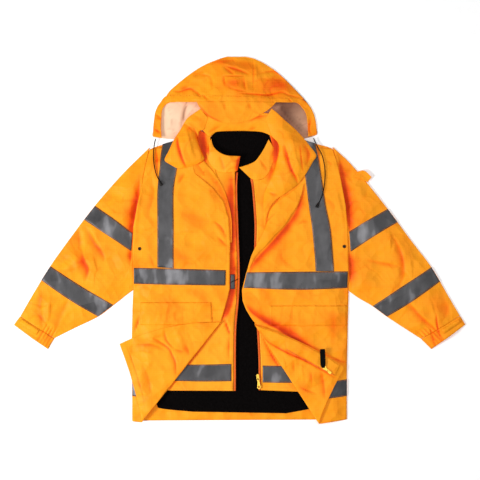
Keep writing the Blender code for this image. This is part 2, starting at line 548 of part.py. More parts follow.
def build():
    orange = material("hi_vis_orange", 255, 150, 30, 0.6)
    lining = material("peach_lining", 250, 206, 165, 0.7)
    fleece = material("black_fleece", 10, 9, 9, 0.95)
    grey = material("reflective_tape", 110, 110, 112, 0.4)
    black = material("black_cord", 14, 14, 14, 0.6)
    brass = material("zip_brass", 214, 168, 60, 0.35, 0.8)
    zip_red = material("zip_tape_orange", 225, 90, 10, 0.6)

    # Outer jacket
    back = sections(BACK, 1, 1)
    loft("outer_back", np.dstack([back, np.full(back.shape[:2], SHELL)]), SHELL, orange)
    front_panel("outer_front_left", FRONT_LEFT, FOLD_LEFT, orange)
    front_panel("outer_front_right", FRONT_RIGHT, FOLD_RIGHT, orange)
    sleeve("sleeve_left", SLEEVE_LEFT, LEFT, orange, 2)
    sleeve("sleeve_right", SLEEVE_RIGHT, RIGHT, orange, 2)
    sleeve("cuff_left", CUFF_LEFT, None, orange, 1)
    sleeve("cuff_right", CUFF_RIGHT, None, orange, 1)
    for name, rows in CUFF_TABS.items():
        strip(name, rows, orange, steps=4)
    loft("collar_left", sections(COLLAR_LEFT, 6, 2), SHELL, orange)
    loft("collar_right", sections(COLLAR_RIGHT, 6, 1), SHELL, orange)
    loft("collar_back", sections(COLLAR_BACK, 4, 1), SHELL, orange)
    loft("facing_left", sections(FACING_LEFT, 1, 2), SHELL, orange)
    loft("storm_flap", sections(STORM_FLAP, 4, 2), SHELL, orange)
    zip_facing(orange)

    # Hood
    hood = sections(HOOD_BACK, 1, 2)
    loft("hood_back", np.dstack([hood, np.full(hood.shape[:2], SHELL)]), SHELL, lining)
    strip("hood_crown", HOOD_CROWN, orange, hood_top, 0, SHELL, 10, 2)
    strip("hood_brim", HOOD_BRIM, orange, hood_top, 0, SHELL, 2, 2)
    strip("hood_peak", HOOD_PEAK, orange, peak_top, 0, SHELL, 8, 1)

    # Inner jacket
    inner = sections(INNER_BACK, 1, 2)
    loft("inner_back", np.dstack([inner, np.full(inner.shape[:2], INNER_BACK_TOP)]), FLEECE, fleece)
    strip("inner_front_left", INNER_LEFT, orange, inner_top, 0, INNER, 6, 1)
    strip("inner_front_right", INNER_RIGHT, orange, inner_top, 0, INNER, 6, 1)
    strip("inner_zip_left", INNER_ZIP_LEFT, zip_red, inner_top, 0, INNER, 1, 1)
    strip("inner_zip_right", INNER_ZIP_RIGHT, zip_red, inner_top, 0, INNER, 1, 1)
    loft("inner_collar_left", sections(INNER_COLLAR_LEFT, 4, 2), INNER, orange)
    loft("inner_collar_right", sections(INNER_COLLAR_RIGHT, 4, 2), INNER, orange)
    strip("inner_tape_left", INNER_TAPE_LEFT, grey, inner_top, 0.4 + TAPE, across=2, steps=3)
    strip("inner_tape_right", INNER_TAPE_RIGHT, grey, inner_top, 0.4 + TAPE, across=2, steps=3)
    strip("inner_waist_patch", INNER_WAIST_PATCH, grey, inner_top, 0.4 + TAPE, steps=2)

    # Tapes and trim of the outer jacket
    strip("brace_left", BRACE_LEFT, grey, steps=4)
    strip("brace_right", BRACE_RIGHT, grey, steps=3)
    strip("waist_tape_left", WAIST_LEFT, grey, steps=10)
    strip("waist_tape_right", WAIST_RIGHT, grey, steps=10)
    strip("hem_tape_left", HEM_TAPE_LEFT, grey, steps=3)
    strip("hem_tape_right", HEM_TAPE_RIGHT, grey, steps=3)
    for name, rows in SLEEVE_TAPES.items():
        strip(name, rows, grey, steps=7)
    strip("pocket_flap_left", POCKET_LEFT, orange, steps=8)
    strip("pocket_flap_right", POCKET_RIGHT, orange, steps=8)
    strip("sleeve_loop", SLEEVE_LOOP, orange, steps=3)
    for name, (x, y) in EYELETS.items():
        ring(name, (x, y, float(front_top(x, y)) + LIE / 2 + EYELET_WIRE), EYELET_RADIUS, EYELET_WIRE, brass)

    # Cords
    for side, points in (("left", CORD_LEFT), ("right", CORD_RIGHT)):
        route = cord_route(points)
        tube("drawcord_" + side, route, CORD / 2, black)
        heading = route[-1] - route[-2]
        heading[2] = 0
        heading /= np.linalg.norm(heading)
        start = route[-1] + heading * 0.4 + np.array([0, 0, CORD_END_MOUTH - CORD / 2])
        profile = [(0, 0), (CORD_END_NECK, 0), (CORD_END_NECK, 3), (CORD_END_MOUTH, CORD_END_LENGTH - 2),
                   (CORD_END_MOUTH - 1, CORD_END_LENGTH), (0, CORD_END_LENGTH)]
        turned("cord_end_" + side, profile[::-1], start, heading, black)
    small = [(x, y, INNER_FRONT_TOP + TAPE + SMALL_CORD_UP) for x, y in SMALL_CORD]
    tube("small_cord", through(small, 2), SMALL_CORD_RADIUS, black)

    # Zip pulls
    zip_pull("inner_zip", INNER_PULL, INNER_FRONT_TOP, brass)
    outer_ground = float(flap_top(OUTER_PULL.x, OUTER_PULL.y)) + LIE + TAPE
    tip = zip_pull("outer_zip", OUTER_PULL, outer_ground, brass)
    turn = math.radians(TAG_HEADING)
    middle = tip + np.array([math.cos(turn), math.sin(turn), 0]) * (TAG_LENGTH / 2 - TAG_ON_PULL)
    middle[2] += (PULL_THICK + TAG_THICK) / 2 + SLIDER_LIE
    slab("outer_zip_tag", middle, TAG_HEADING, TAG_LENGTH, TAG_WIDTH, TAG_THICK, black)


clear_scene()
COLLECTION = bpy.data.collections.new("hi_vis_work_jacket")
bpy.context.scene.collection.children.link(COLLECTION)
build()
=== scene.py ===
"""Looks of the hi-vis work jacket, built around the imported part.

Each cut piece is a fine cloth mesh laid over the same sections as the part's solid, with the folds and
puckers of the laid garment, stitching, and a woven, coated, napped or beaded finish made of shader nodes.
The tables are in millimetres: X to the wearer's left, Y towards the hood, Z up from the floor.
"""

import math
from collections import namedtuple

import bpy
import numpy as np
from mathutils import Matrix, Vector


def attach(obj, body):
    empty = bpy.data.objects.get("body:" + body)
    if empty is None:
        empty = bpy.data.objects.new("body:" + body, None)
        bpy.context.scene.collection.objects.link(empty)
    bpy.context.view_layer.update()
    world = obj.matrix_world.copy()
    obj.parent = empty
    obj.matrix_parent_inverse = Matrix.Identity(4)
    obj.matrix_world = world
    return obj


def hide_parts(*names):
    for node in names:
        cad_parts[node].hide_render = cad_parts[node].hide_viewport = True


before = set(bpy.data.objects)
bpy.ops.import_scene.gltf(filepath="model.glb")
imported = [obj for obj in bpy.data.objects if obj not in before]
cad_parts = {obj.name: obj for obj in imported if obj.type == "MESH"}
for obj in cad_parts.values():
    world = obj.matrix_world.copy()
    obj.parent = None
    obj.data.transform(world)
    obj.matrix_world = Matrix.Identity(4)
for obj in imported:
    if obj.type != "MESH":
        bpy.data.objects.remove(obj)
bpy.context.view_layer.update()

MM = 0.001

# Cloth walls
SHELL = 1.2          # coated outer cloth with its backing
FLEECE = 2.5         # fleece back of the inner jacket
INNER = 2.0          # inner jacket's fronts and collar
TAPE = 1.0           # reflective tape
SEAM = 0.6           # clearance between two panels at a seam
LIE = 0.9            # clearance under what lies on a panel

# Heights of the laid cloth
EDGE_TOP = 2.7       # top of the front where it meets the back at a side or a sleeve's edge
FRONT_TOP = 15.0     # top of the front away from its edges
FRONT_REACH = 70.0   # how far in from an edge the cloth rises
INNER_BACK_TOP = 4.0
INNER_FRONT_TOP = 11.6
INNER_EDGE_TOP = 6.6
INNER_REACH = 60.0
HOOD_TOP = 34.0
HOOD_REACH = 130.0
PEAK_DROP = 7.0      # how far the peak comes down to its edge
PEAK_START, PEAK_END = 424.0, 356.0
ROLL = 3.0           # radius of the fold at a turned corner

CORD = 3.0           # drawcord diameter

Row = namedtuple("Row", "ax ay bx by")                   # a section from edge A to edge B
High = namedtuple("High", "ax ay az bx by bz crown")     # with the top's heights and its rise between
Fold = namedtuple("Fold", "px py qx qy cx cy hem_bow front_bow")   # line P-Q, corner C beyond it

# Edges where front and back meet, which the cloth rises from: shoulder to cuff, and cuff to hem
UPPER_LEFT = [
    (-195, 312), (-279, 285), (-362, 203), (-447, 106), (-481, 63), (-585, -81), (-613, -124), (-677, -235),
    (-697, -262),
]
LOWER_LEFT = [(-592, -337), (-572, -303), (-438, -237), (-391, -202), (-332, -155), (-333, -291), (-332, -575)]
UPPER_RIGHT = [
    (197, 314), (288, 287), (353, 224), (405, 182), (457, 96), (487, 55), (592, -84), (618, -128), (680, -234),
    (697, -261),
]
LOWER_RIGHT = [(592, -337), (560, -305), (455, -237), (410, -204), (338, -157), (334, -265), (331, -575)]
ARMHOLE_LEFT = [(-279, 285), (-290, 235), (-301, 172), (-316, 106), (-328, 40), (-330, -36), (-329, -154)]
ARMHOLE_RIGHT = [(288, 287), (299, 245), (313, 182), (327, 106), (334, 26), (335, -36), (337, -157)]
HOOD_ARC = [
    (-268, 318), (-262, 397), (-241, 425), (-211, 466), (-162, 506), (-115, 537), (-60, 561), (-12, 567),
    (50, 558), (110, 525), (165, 474), (216, 417), (232, 385), (239, 322),
]

LEFT, RIGHT = -1, 1
FOLD_LEFT = Fold(-58, -247, -307, -562, -50, -574, -6, 20)
FOLD_RIGHT = Fold(47, -255, 249, -566, 53, -568, -5, 14)


def through(rows, steps):
    """A smooth curve through the rows of a table, with this many steps between two of them."""
    p = np.array(rows, float)
    p = np.vstack([2 * p[0] - p[1], p, 2 * p[-1] - p[-2]])
    t = (np.arange(steps) / steps)[:, None]
    spans = [
        0.5 * (2 * b + (c - a) * t + (2 * a - 5 * b + 4 * c - d) * t**2 + (3 * b - a - 3 * c + d) * t**3)
        for a, b, c, d in zip(p, p[1:], p[2:], p[3:])
    ]
    return np.vstack(spans + [p[-2:-1]])


def from_line(x, y, line):
    """How far each point is from a line of straight pieces."""
    best = np.full(np.shape(x), np.inf)
    for (ax, ay), (bx, by) in zip(line, line[1:]):
        dx, dy = bx - ax, by - ay
        t = np.clip(((x - ax) * dx + (y - ay) * dy) / (dx * dx + dy * dy), 0, 1)
        best = np.minimum(best, np.hypot(x - ax - t * dx, y - ay - t * dy))
    return best


def rise(distance, reach):
    return np.sin(math.pi / 2 * np.clip(distance / reach, 0, 1))


def front_top(x, y):
    """Top of the outer fronts, sleeves and cuffs: low along the outline, high inside."""
    x, y = np.asarray(x, float), np.asarray(y, float)
    inside = [from_line(x, y, line) for line in (UPPER_LEFT, LOWER_LEFT, UPPER_RIGHT, LOWER_RIGHT)]
    off_body = (y < -180) & (((x < -332.5) & (x > -430) & (y < -250)) | ((x > 333.5) & (x < 430) & (y < -250)))
    distance = np.where(off_body, 0, np.min(inside, axis=0))
    return EDGE_TOP + (FRONT_TOP - EDGE_TOP) * rise(distance, FRONT_REACH)


def inner_top(x, y):
    """Top of the inner jacket's fronts, which come down to its back at the sides."""
    side = np.maximum(256 - np.abs(np.asarray(x, float)), 0)
    return INNER_EDGE_TOP + (INNER_FRONT_TOP - INNER_EDGE_TOP) * rise(side, INNER_REACH)


def hood_top(x, y):
    """Top of the hood's crown and brim: a low dome from the hood's edge."""
    return EDGE_TOP + (HOOD_TOP - EDGE_TOP) * rise(from_line(x, y, HOOD_ARC), HOOD_REACH)


def peak_top(x, y):
    drop = np.clip((PEAK_START - y) / (PEAK_START - PEAK_END), 0, 1)
    return hood_top(x, y) - PEAK_DROP * drop**1.5


def armhole(side, y, inset=SEAM):
    """The point of the armhole seam at this height, moved in towards the body."""
    line = np.array(ARMHOLE_LEFT if side == LEFT else ARMHOLE_RIGHT, float)[::-1]
    return float(np.interp(y, line[:, 1], line[:, 0])) - side * inset, y


# The outer jacket's panels, from the shoulder down. A is the outer edge and B the front one.
BACK = [
    Row(-200, 304, 197, 306), Row(*armhole(LEFT, 279, 3), *armhole(RIGHT, 281, 3)),
    Row(*armhole(LEFT, 235), *armhole(RIGHT, 245)), Row(*armhole(LEFT, 172), *armhole(RIGHT, 182)),
    Row(*armhole(LEFT, 106), *armhole(RIGHT, 106)), Row(*armhole(LEFT, 40), *armhole(RIGHT, 26)),
    Row(*armhole(LEFT, -36), *armhole(RIGHT, -36)), Row(*armhole(LEFT, -152), *armhole(RIGHT, -155)),
    Row(-333, -291, 334, -265), Row(-332, -430, 331, -430), Row(-332, -558, 331, -554),
]
FRONT_LEFT = [
    Row(*armhole(LEFT, 280, 3), -150, 300), Row(*armhole(LEFT, 235), -150, 262),
    Row(*armhole(LEFT, 172), -138, 206), Row(*armhole(LEFT, 106), -79, 158), Row(*armhole(LEFT, 40), -50, 120),
    Row(*armhole(LEFT, -36), -34, 68), Row(*armhole(LEFT, -95), -29, -8), Row(*armhole(LEFT, -152), -31, -90),
    Row(-331, -210, -31, -150), Row(-332.5, -290, -38, -182), Row(-333, -385, -45, -206),
    Row(-332, -475, -51, -226), Row(-331, -560, -55, -239),
]
FRONT_RIGHT = [
    Row(*armhole(RIGHT, 282, 3), 160, 290), Row(*armhole(RIGHT, 245), 158, 255),
    Row(*armhole(RIGHT, 182), 152, 190), Row(*armhole(RIGHT, 106), 118, 120), Row(*armhole(RIGHT, 26), 86, 46),
    Row(*armhole(RIGHT, -36), 55, -7), Row(*armhole(RIGHT, -95), 41, -41), Row(*armhole(RIGHT, -155), 20, -102),
    Row(333.5, -220, 7, -154), Row(332.5, -300, 9, -187), Row(331, -390, 20, -215), Row(331, -475, 34, -238),
    Row(331, -554, 42, -249),
]
# Sleeves and cuffs, from the shoulder out. A is the upper edge and B the lower one.
SLEEVE_LEFT = [
    Row(-279, 285, -329, -154), Row(-362, 203, -345, -166), Row(-447, 106, -365, -182),
    Row(-520, 10, -391, -202), Row(-585, -81, -438, -237), Row(-640, -171, -510, -272),
    Row(-677, -235, -572, -303),
]
CUFF_LEFT = [Row(-677.5, -235.8, -572.5, -303.8), Row(-688, -249, -583, -321), Row(-697, -262, -592, -337)]
SLEEVE_RIGHT = [
    Row(288, 287, 337, -157), Row(353, 224, 350, -167), Row(457, 96, 372, -182), Row(525, 4, 410, -204),
    Row(592, -84, 455, -237), Row(643, -171, 510, -273), Row(680, -234, 560, -305),
]
CUFF_RIGHT = [Row(680.5, -234.8, 560.5, -305.8), Row(689, -248, 576, -321), Row(697, -261, 592, -337)]
# The cuff straps' two ends, from cuff seam to cuff end
CUFF_TABS = {
    "cuff_tab_left": [Row(-672, -243, -681, -254), Row(-617, -279, -626, -292)],
    "cuff_tab_right": [Row(676, -243, 684, -253), Row(622, -277, 630, -289)],
}

# The collar: A is the free outer edge and B the neck side, from the front up to the back
COLLAR_LEFT = [
    High(-190, 219, 18.0, -163, 223, 18.5, 1), High(-214, 232, 18.5, -128, 235, 19.5, 7),
    High(-231, 247, 18.5, -109, 249, 20.0, 13), High(-217, 277, 17.5, -118, 277, 20.0, 16),
    High(-204, 306, 17.0, -128, 305, 20.0, 16), High(-184, 337, 18.5, -124, 334, 18.5, 11),
    High(-164, 371, 22.0, -110, 340, 18.4, 7), High(-143, 388, 25.0, -104, 356, 20.6, 4),
    High(-120, 403, 27.0, -98, 376, 23.4, 1),
]
COLLAR_RIGHT = [
    High(79, 44, 18.5, 73, 44, 17.5, 0), High(85, 80, 18.8, 72, 90, 17.5, 1),
    High(106, 118, 19.0, 73, 128, 17.0, 3), High(140, 142, 19.2, 79, 155, 17.0, 6),
    High(180, 172, 19.2, 91, 178, 17.5, 10), High(205, 205, 19.2, 101, 207, 18.0, 13),
    High(225, 240, 18.6, 113, 243, 19.0, 14), High(236, 260, 18.4, 120, 268, 20.0, 14),
    High(218, 287, 18.0, 121, 285, 20.5, 15), High(198, 312, 17.5, 116, 301, 21.0, 14),
    High(172, 340, 19.0, 98, 320, 18.6, 11), High(142, 366, 21.5, 92, 336, 19.4, 7),
    High(116, 390, 24.5, 86, 354, 21.4, 3), High(98, 404, 26.5, 80, 374, 24.2, 1),
]
# The collar behind the neck: A is under the peak and B is the neck edge
COLLAR_BACK = [
    High(-112, 392, 23, -112, 336, 17.0, 2), High(-98, 390, 24, -93, 318, 15.0, 3),
    High(-82, 390, 25.5, -80, 327, 14.0, 5), High(-66, 390, 26, -64, 334, 13.5, 5),
    High(0, 390, 26, 0, 336, 13.5, 5), High(58, 390, 26, 58, 334, 13.5, 5),
    High(80, 390, 25.5, 82, 328, 14.0, 4), High(104, 386, 23.5, 97, 320, 16.0, 1),
]
# The left front's inner facing, and the right front's storm flap, turned out
FACING_LEFT = [
    High(-152, 215, 13.2, -110, 244, 15.5, 0), High(-116, 183, 13.2, -78, 207, 14.0, 0),
    High(-84, 156, 13.2, -49, 158, 13.4, 0), High(-55, 118, 13.2, -33, 108, 13.2, 0),
    High(-39, 66, 13.2, -25, 62, 13.2, 0), High(-34, -8, 13.2, -24, -8, 13.2, 0),
]
STORM_FLAP = [
    High(198, 174, 18.0, 188, 169, 18.0, 0), High(190, 138, 18.0, 160, 149, 17.6, 1),
    High(178, 105, 17.6, 124, 124, 17.2, 3), High(160, 77, 17.4, 94, 93, 17.0, 5),
    High(139, 44, 17.4, 82, 48, 17.0, 5), High(110, 15, 17.4, 66, 12, 17.0, 4),
    High(83, -15, 17.4, 55, -9, 17.0, 3), High(49, -51, 17.4, 37, -46, 17.0, 1),
    High(30, -87, 17.4, 25, -85, 17.0, 0),
]

# The hood, up the page. A is its left edge and B its right one
HOOD_BACK = [
    Row(-198, 310.5, 195, 312), Row(-266, 319, 237, 325), Row(-265, 345, 237, 348), Row(-261, 395, 230, 385),
    Row(-240, 425, 209, 424), Row(-210, 465, 171, 466), Row(-163, 505, 132, 504), Row(-115, 536, 90, 536),
    Row(-66, 557, 50, 556), Row(-40, 564, 18, 564),
]
HOOD_CROWN = [
    Row(-226, 446.6, 200, 434.4), Row(-210, 466, 172, 464), Row(-162, 506, 131, 505), Row(-115, 537, 92, 535),
    Row(-66, 558, 50, 557.5), Row(-40, 565.6, 19, 565.6),
]
# The gathered brim, from the left bottom corner round to the right one. A is its outer edge
HOOD_BRIM = [
    Row(-268, 319, -241, 315), Row(-267, 345, -243, 343), Row(-264, 375, -242, 375), Row(-259, 400, -238, 404),
    Row(-245, 424, -222, 422), Row(-222, 446.6, -198, 425), Row(-165, 445.8, -160, 424.5),
    Row(-60, 443.1, -60, 424), Row(60, 439.5, 60, 423.5), Row(140, 437.2, 140, 423.5),
    Row(188, 435.7, 176, 423), Row(212, 419, 193, 408), Row(228, 392, 205, 388), Row(236, 360, 210, 356),
    Row(239, 325, 212, 319),
]
HOOD_PEAK = [
    Row(-133, 425, 113, 424.4), Row(-122, 406, 94, 405), Row(-107, 389, 72, 390), Row(-86, 374, 48, 376),
    Row(-62, 363, 22, 365), Row(-42, 358.5, -6, 359.5),
]

# The inner jacket
INNER_BACK = [
    Row(-66, 350, 76, 350), Row(-78, 331, 88, 331), Row(-110, 300, 112, 300), Row(-200, 250, 200, 250),
    Row(-240, 100, 240, 100), Row(-250, -200, 250, -200), Row(-257, -470, 252, -470),
    Row(-255, -510, 250, -512), Row(-237, -521, 213, -522), Row(-145, -530, 144, -535),
]
INNER_LEFT = [
    Row(-190, 235, -14, 214), Row(-225, 100, -14, 151), Row(-240, 0, -11, 32), Row(-245, -100, -7, -99),
    Row(-248, -200, -10, -185), Row(-251, -330, -18, -288), Row(-251, -440, -19, -440),
    Row(-222, -464, -19, -465),
]
INNER_RIGHT = [
    Row(190, 200, 39.8, 196), Row(205, 150, 44.8, 160), Row(225, 100, 49.8, 100), Row(240, 40, 52.8, 40),
    Row(245, -60, 50.8, -40), Row(248, -160, 51.8, -150), Row(250, -290, 59.8, -272),
    Row(250, -380, 64.8, -365), Row(248, -470, 65.8, -463),
]
# The inner fronts' zip edges. A is the panel's side and B the opening's
INNER_ZIP_LEFT = [
    Row(-11, 208, -6, 209), Row(-13, 151, -8, 151), Row(-10, 32, -4, 32), Row(-6, -99, 0, -99),
    Row(-9, -185, -3, -185), Row(-17, -288, -11, -288), Row(-18, -465, -12, -465),
]
INNER_ZIP_RIGHT = [
    Row(39, 196, 33, 188), Row(44, 160, 38, 160), Row(49, 100, 43, 100), Row(52, 40, 46, 40),
    Row(50, -40, 45, -40), Row(51, -150, 45, -150), Row(59, -272, 53, -270), Row(64, -365, 58, -365),
    Row(65, -463, 59, -463),
]
INNER_COLLAR_LEFT = [
    High(2, 258, 20, -7, 212, 14.0, 3), High(-20, 259, 21, -34, 208, 14.0, 4),
    High(-41, 261, 21, -60, 209, 14.0, 4), High(-62, 270, 20, -78, 220, 14.0, 4),
    High(-79, 286, 18, -93, 239, 14.0, 3), High(-86, 303, 17, -102, 262, 14.0, 2),
    High(-87, 312, 16, -102, 284, 14.0, 1),
]
INNER_COLLAR_RIGHT = [
    High(-2, 224, 17, 33, 190, 14.0, 2), High(16, 229, 19, 50, 184, 14.0, 3),
    High(45, 241, 20, 72, 188, 14.0, 4), High(61, 259, 20, 88, 204, 14.0, 4),
    High(73, 278, 18, 101, 235, 14.0, 3), High(83, 297, 17, 110, 262, 14.0, 2),
    High(89, 310, 16, 104, 286, 14.0, 1),
]

# Reflective tapes. A and B are the two long edges
BRACE_LEFT = [
    Row(-238, 296, -197, 307), Row(-243, 262, -193, 262), Row(-246, 220, -194, 220), Row(-253, 155, -204, 150),
    Row(-253, 40, -204, 40), Row(-253, -84, -204, -87.5),
]
BRACE_RIGHT = [
    Row(194, 310, 233, 299), Row(196, 250, 244, 244), Row(205, 170, 256, 165), Row(214, 100, 266, 100),
    Row(224, 30, 280, 30), Row(232, -60, 288, -60), Row(234, -96, 290, -96.5),
]
WAIST_LEFT = [Row(-326, -86, -326, -135), Row(-190, -89, -190, -138), Row(-43, -93, -44, -140)]
WAIST_RIGHT = [Row(22, -100, 12, -147), Row(180, -98, 180, -153), Row(333, -97, 332, -148)]
HEM_TAPE_LEFT = [Row(-331.5, -432, -331.5, -482), Row(-300, -434, -300, -484), Row(-262, -436, -262, -486)]
HEM_TAPE_RIGHT = [Row(331, -430, 331, -481), Row(300, -434, 300, -485), Row(262, -438, 262, -489)]
SLEEVE_TAPES = {
    "sleeve_tape_upper_left": [Row(-447, 105, -480.5, 63), Row(-390, 66, -415, 20), Row(-331, 21, -334, -34)],
    "sleeve_tape_lower_left": [Row(-585, -81, -612.5, -124), Row(-490, -142, -520, -187),
                               Row(-391, -201, -437, -236)],
    "sleeve_tape_upper_right": [Row(457, 96, 487, 55), Row(397, 62, 417, 14), Row(337.5, 26, 342, -36)],
    "sleeve_tape_lower_right": [Row(592, -84, 618, -128), Row(500, -144, 530, -190), Row(411, -204, 455, -236.5)],
}
INNER_TAPE_LEFT = [Row(-205, -384, -205, -434), Row(-110, -384, -110, -436), Row(-26, -382, -26, -435)]
INNER_TAPE_RIGHT = [Row(71, -387, 71, -439), Row(130, -388, 130, -440), Row(185, -388, 185, -440)]
INNER_WAIST_PATCH = [Row(-29, -106, -29, -151), Row(-15, -106, -15, -151)]

POCKET_LEFT = [Row(-306, -192, -306, -262), Row(-200, -192, -200, -262), Row(-88, -192, -84, -262)]
POCKET_RIGHT = [Row(92, -202, 92, -264), Row(210, -202, 210, -264), Row(330, -202, 330, -264)]
SLEEVE_LOOP = [Row(360, 210, 352, 194), Row(384, 214, 372, 190), Row(407, 194, 395, 178)]
# Facing on the turned right corner, which the zip is sewn to: share of the way along the corner's front
# edge, and how wide it is there
ZIP_FACING = [(0.07, 10), (0.2, 22), (0.36, 34), (0.55, 40), (0.8, 40), (0.95, 34)]
ZIP_FACING_INSET = 3.0

EYELETS = {"eyelet_left": (-308, -27), "eyelet_right": (322, -20)}
EYELET_RADIUS = 4.5

# Drawcords, from the hood's lower corners: x and y of the route
CORD_LEFT = [
    (-259, 312), (-262, 300), (-265, 280), (-266, 258), (-264, 236), (-260, 214), (-254, 196), (-247, 182),
]
CORD_RIGHT = [
    (228, 314), (234, 300), (243, 282), (252, 266), (258, 246), (262, 222), (263, 198), (261, 172), (257, 148),
    (251, 130), (244, 115),
]
SMALL_CORD = [(-27, -131), (-22, -127), (-16, -126), (-10, -123), (-5, -119)]
SMALL_CORD_RADIUS, SMALL_CORD_UP = 1.0, 1.8
CORD_END_LENGTH, CORD_END_NECK, CORD_END_MOUTH = 16.0, 3.0, 5.0

# Zip sliders and pulls: the slider's middle, the way the pull points, and its length
Pull = namedtuple("Pull", "x y heading length width ground")
INNER_PULL = Pull(56, -420, -84, 40, 11, INNER_FRONT_TOP)
OUTER_PULL = Pull(276, -406, 139, 27, 11, None)
SLIDER_LENGTH, SLIDER_HEIGHT = 13.0, 3.0
SLIDER_LIE = 0.3     # clearance under a slider
PULL_THICK = 1.6
PULL_CLEAR = 0.5     # between slider and pull, whose hinge is across the pull's end
TAG_THICK = 1.6
TAG_HEADING = 92
TAG_ON_PULL = 4.0    # how far the tag's end lies over the pull's


# How the laid cloth differs from the part's plain sections. A crease's shade darkens and reddens the cloth's
# colour: painted shade in its fold, painted shadow where it runs beside an edge that stands above it, and a darker
# seam where it follows one.
Crease = namedtuple("Crease", "width height shade points")   # height below 0 is a valley, shade is 0 to 1

BODY_LIFT = 2.0      # the outer fronts stand this much higher, so that creases clear the inner jacket
COLLAR_LIFT = 2.5
GRID = 5.0           # spacing of a mesh's points
SOFT_SIDE, CRISP_SIDE = 0.85, 0.3    # a crease is steep on its left and slopes away on its right

SLEEVE_CREASES = [
    Crease(21, -9, 1.0, [(-308, 175), (-321, 95), (-331, 30), (-335, -40)]),
    Crease(12, -3, 0.8, [(-335, -30), (-336, -66)]),
    Crease(18, -6, 0.55, [(-469, 30), (-449, -6), (-429, -33), (-417, -57)]),
    Crease(18, -6, 0.6, [(-488, -29), (-481, -65), (-469, -88), (-473, -120)]),
    Crease(16, 4, 0.0, [(-455, -50), (-441, -95)]),
    Crease(16, 3, 0.0, [(-505, -40), (-500, -90)]),
    Crease(22, -4, 0.3, [(-611, -163), (-615, -211), (-607, -274)]),
    Crease(22, -4, 0.3, [(-528, -187), (-552, -234), (-567, -280)]),
    Crease(26, -3, 0.3, [(-500, 30), (-488, -20)]),
    Crease(14, 3, 0.0, [(-585, -170), (-588, -240)]),
    Crease(24, -9, 1.0, [(340, 30), (330, 92), (319, 160), (309, 235)]),
    Crease(22, -5, 0.6, [(342, -130), (340, -90), (338, -40)]),
    Crease(17, -6, 0.5, [(480, 2), (500, -49), (506, -100), (500, -128)]),
    Crease(9, -3, 0.35, [(397, -61), (452, -73), (492, -80)]),
    Crease(14, 4, 0.0, [(464, 22), (464, -29)]),
    Crease(16, 3, 0.0, [(527, -60), (530, -115)]),
    Crease(15, -5, 0.5, [(523, -195), (555, -234), (603, -276)]),
    Crease(5, -4, 0.7, [(606, -226), (612, -274), (626, -313)]),
    Crease(6, -4, 0.6, [(590, -274), (594, -297), (606, -329)]),
    Crease(28, -3, 0.3, [(645, -200), (632, -240)]),
    Crease(12, 3, 0.0, [(590, -190), (597, -225)]),
]
BODY_CREASES = [
    Crease(9, -2, 0.55, [(-258, 284), (-253, 233), (-256, 193)]),
    Crease(16, -2, 0.35, [(-272, 193), (-266, 147), (-278, 95), (-284, 68)]),
    Crease(9, -2, 0.45, [(-171, 202), (-190, 171)]),
    Crease(45, -1, 0.22, [(-170, 85), (-110, 60), (-90, 40)]),
    Crease(7, -2, 0.6, [(-79, 58), (-55, 37), (-41, 6)]),
    Crease(7, -2, 0.6, [(-67, 10), (-41, -18)]),
    Crease(8, 2.5, 0.0, [(-72, 38), (-50, 15)]),
    Crease(6, -1.5, 0.25, [(-104, 86), (-98, 67)]),
    Crease(13, -2, 0.35, [(-278, -45), (-263, -80)]),
    Crease(7, -2.5, 0.6, [(-309, -236), (-315, -259), (-325, -282)]),
    Crease(14, 3, 0.0, [(-303, 150), (-318, 60), (-318, -20)]),
    Crease(12, -1.5, 0.5, [(239, 290), (248, 232)]),
    Crease(8, -2, 0.35, [(270, 245), (288, 232)]),
    Crease(13, -2, 0.3, [(266, 132), (288, 110), (291, 95), (285, 80)]),
    # painted shadow that the storm flap's free edge casts on the right front
    Crease(19, -2, 0.9, [(30, -96), (54, -60), (112, 3), (152, 50), (178, 93), (194, 156)]),
    Crease(8, -2, 0.35, [(211, 52), (196, 55), (178, 47)]),
    Crease(7, -1.5, 0.25, [(129, -30), (132, -58), (169, -88)]),
    Crease(14, 3, 0.0, [(300, 150), (316, 70), (322, 0)]),
    # painted shadow on the right front along the turned corner's front edge
    Crease(20, -2, 1.0, [(250, -354), (214, -333), (172, -306), (118, -272), (82, -252), (45, -228), (26, -208)]),
    Crease(24, -1, 0.25, [(292, -225), (288, -330)]),
    Crease(8, -2, 0.5, [(262, -352), (300, -368), (330, -378)]),
] + [
    Crease(4.5, -1.5, 0.18, [(x, -206), (x - 4, -256)])
    for x in (-255, -238, -218, -195, -172, -140, 132, 163, 190, 236)
]
LEFT_FLAP_CREASES = [
    Crease(7, -3, 0.6, [(-232, -276), (-224, -310), (-201, -333)]),
    Crease(8, -4, 0.7, [(-264, -302), (-241, -316), (-218, -333), (-206, -356), (-198, -376), (-196, -410)]),
    Crease(11, -2, 0.35, [(-312, -322), (-272, -322), (-241, -333), (-218, -350)]),
    Crease(8, -2.5, 0.45, [(-201, -336), (-172, -345)]),
    Crease(13, -2, 0.35, [(-165, -325), (-155, -356)]),
    Crease(7, 4, 0.0, [(-222, -318), (-208, -342), (-190, -372)]),
    Crease(9, 3, 0.0, [(-262, -312), (-235, -328)]),
    Crease(3.5, -1, 0.4, [(-352, -322), (-341, -345), (-329, -376), (-315, -419), (-295, -490)]),
    Crease(14, -1.5, 0.3, [(-300, -380), (-280, -430), (-270, -480)]),
]
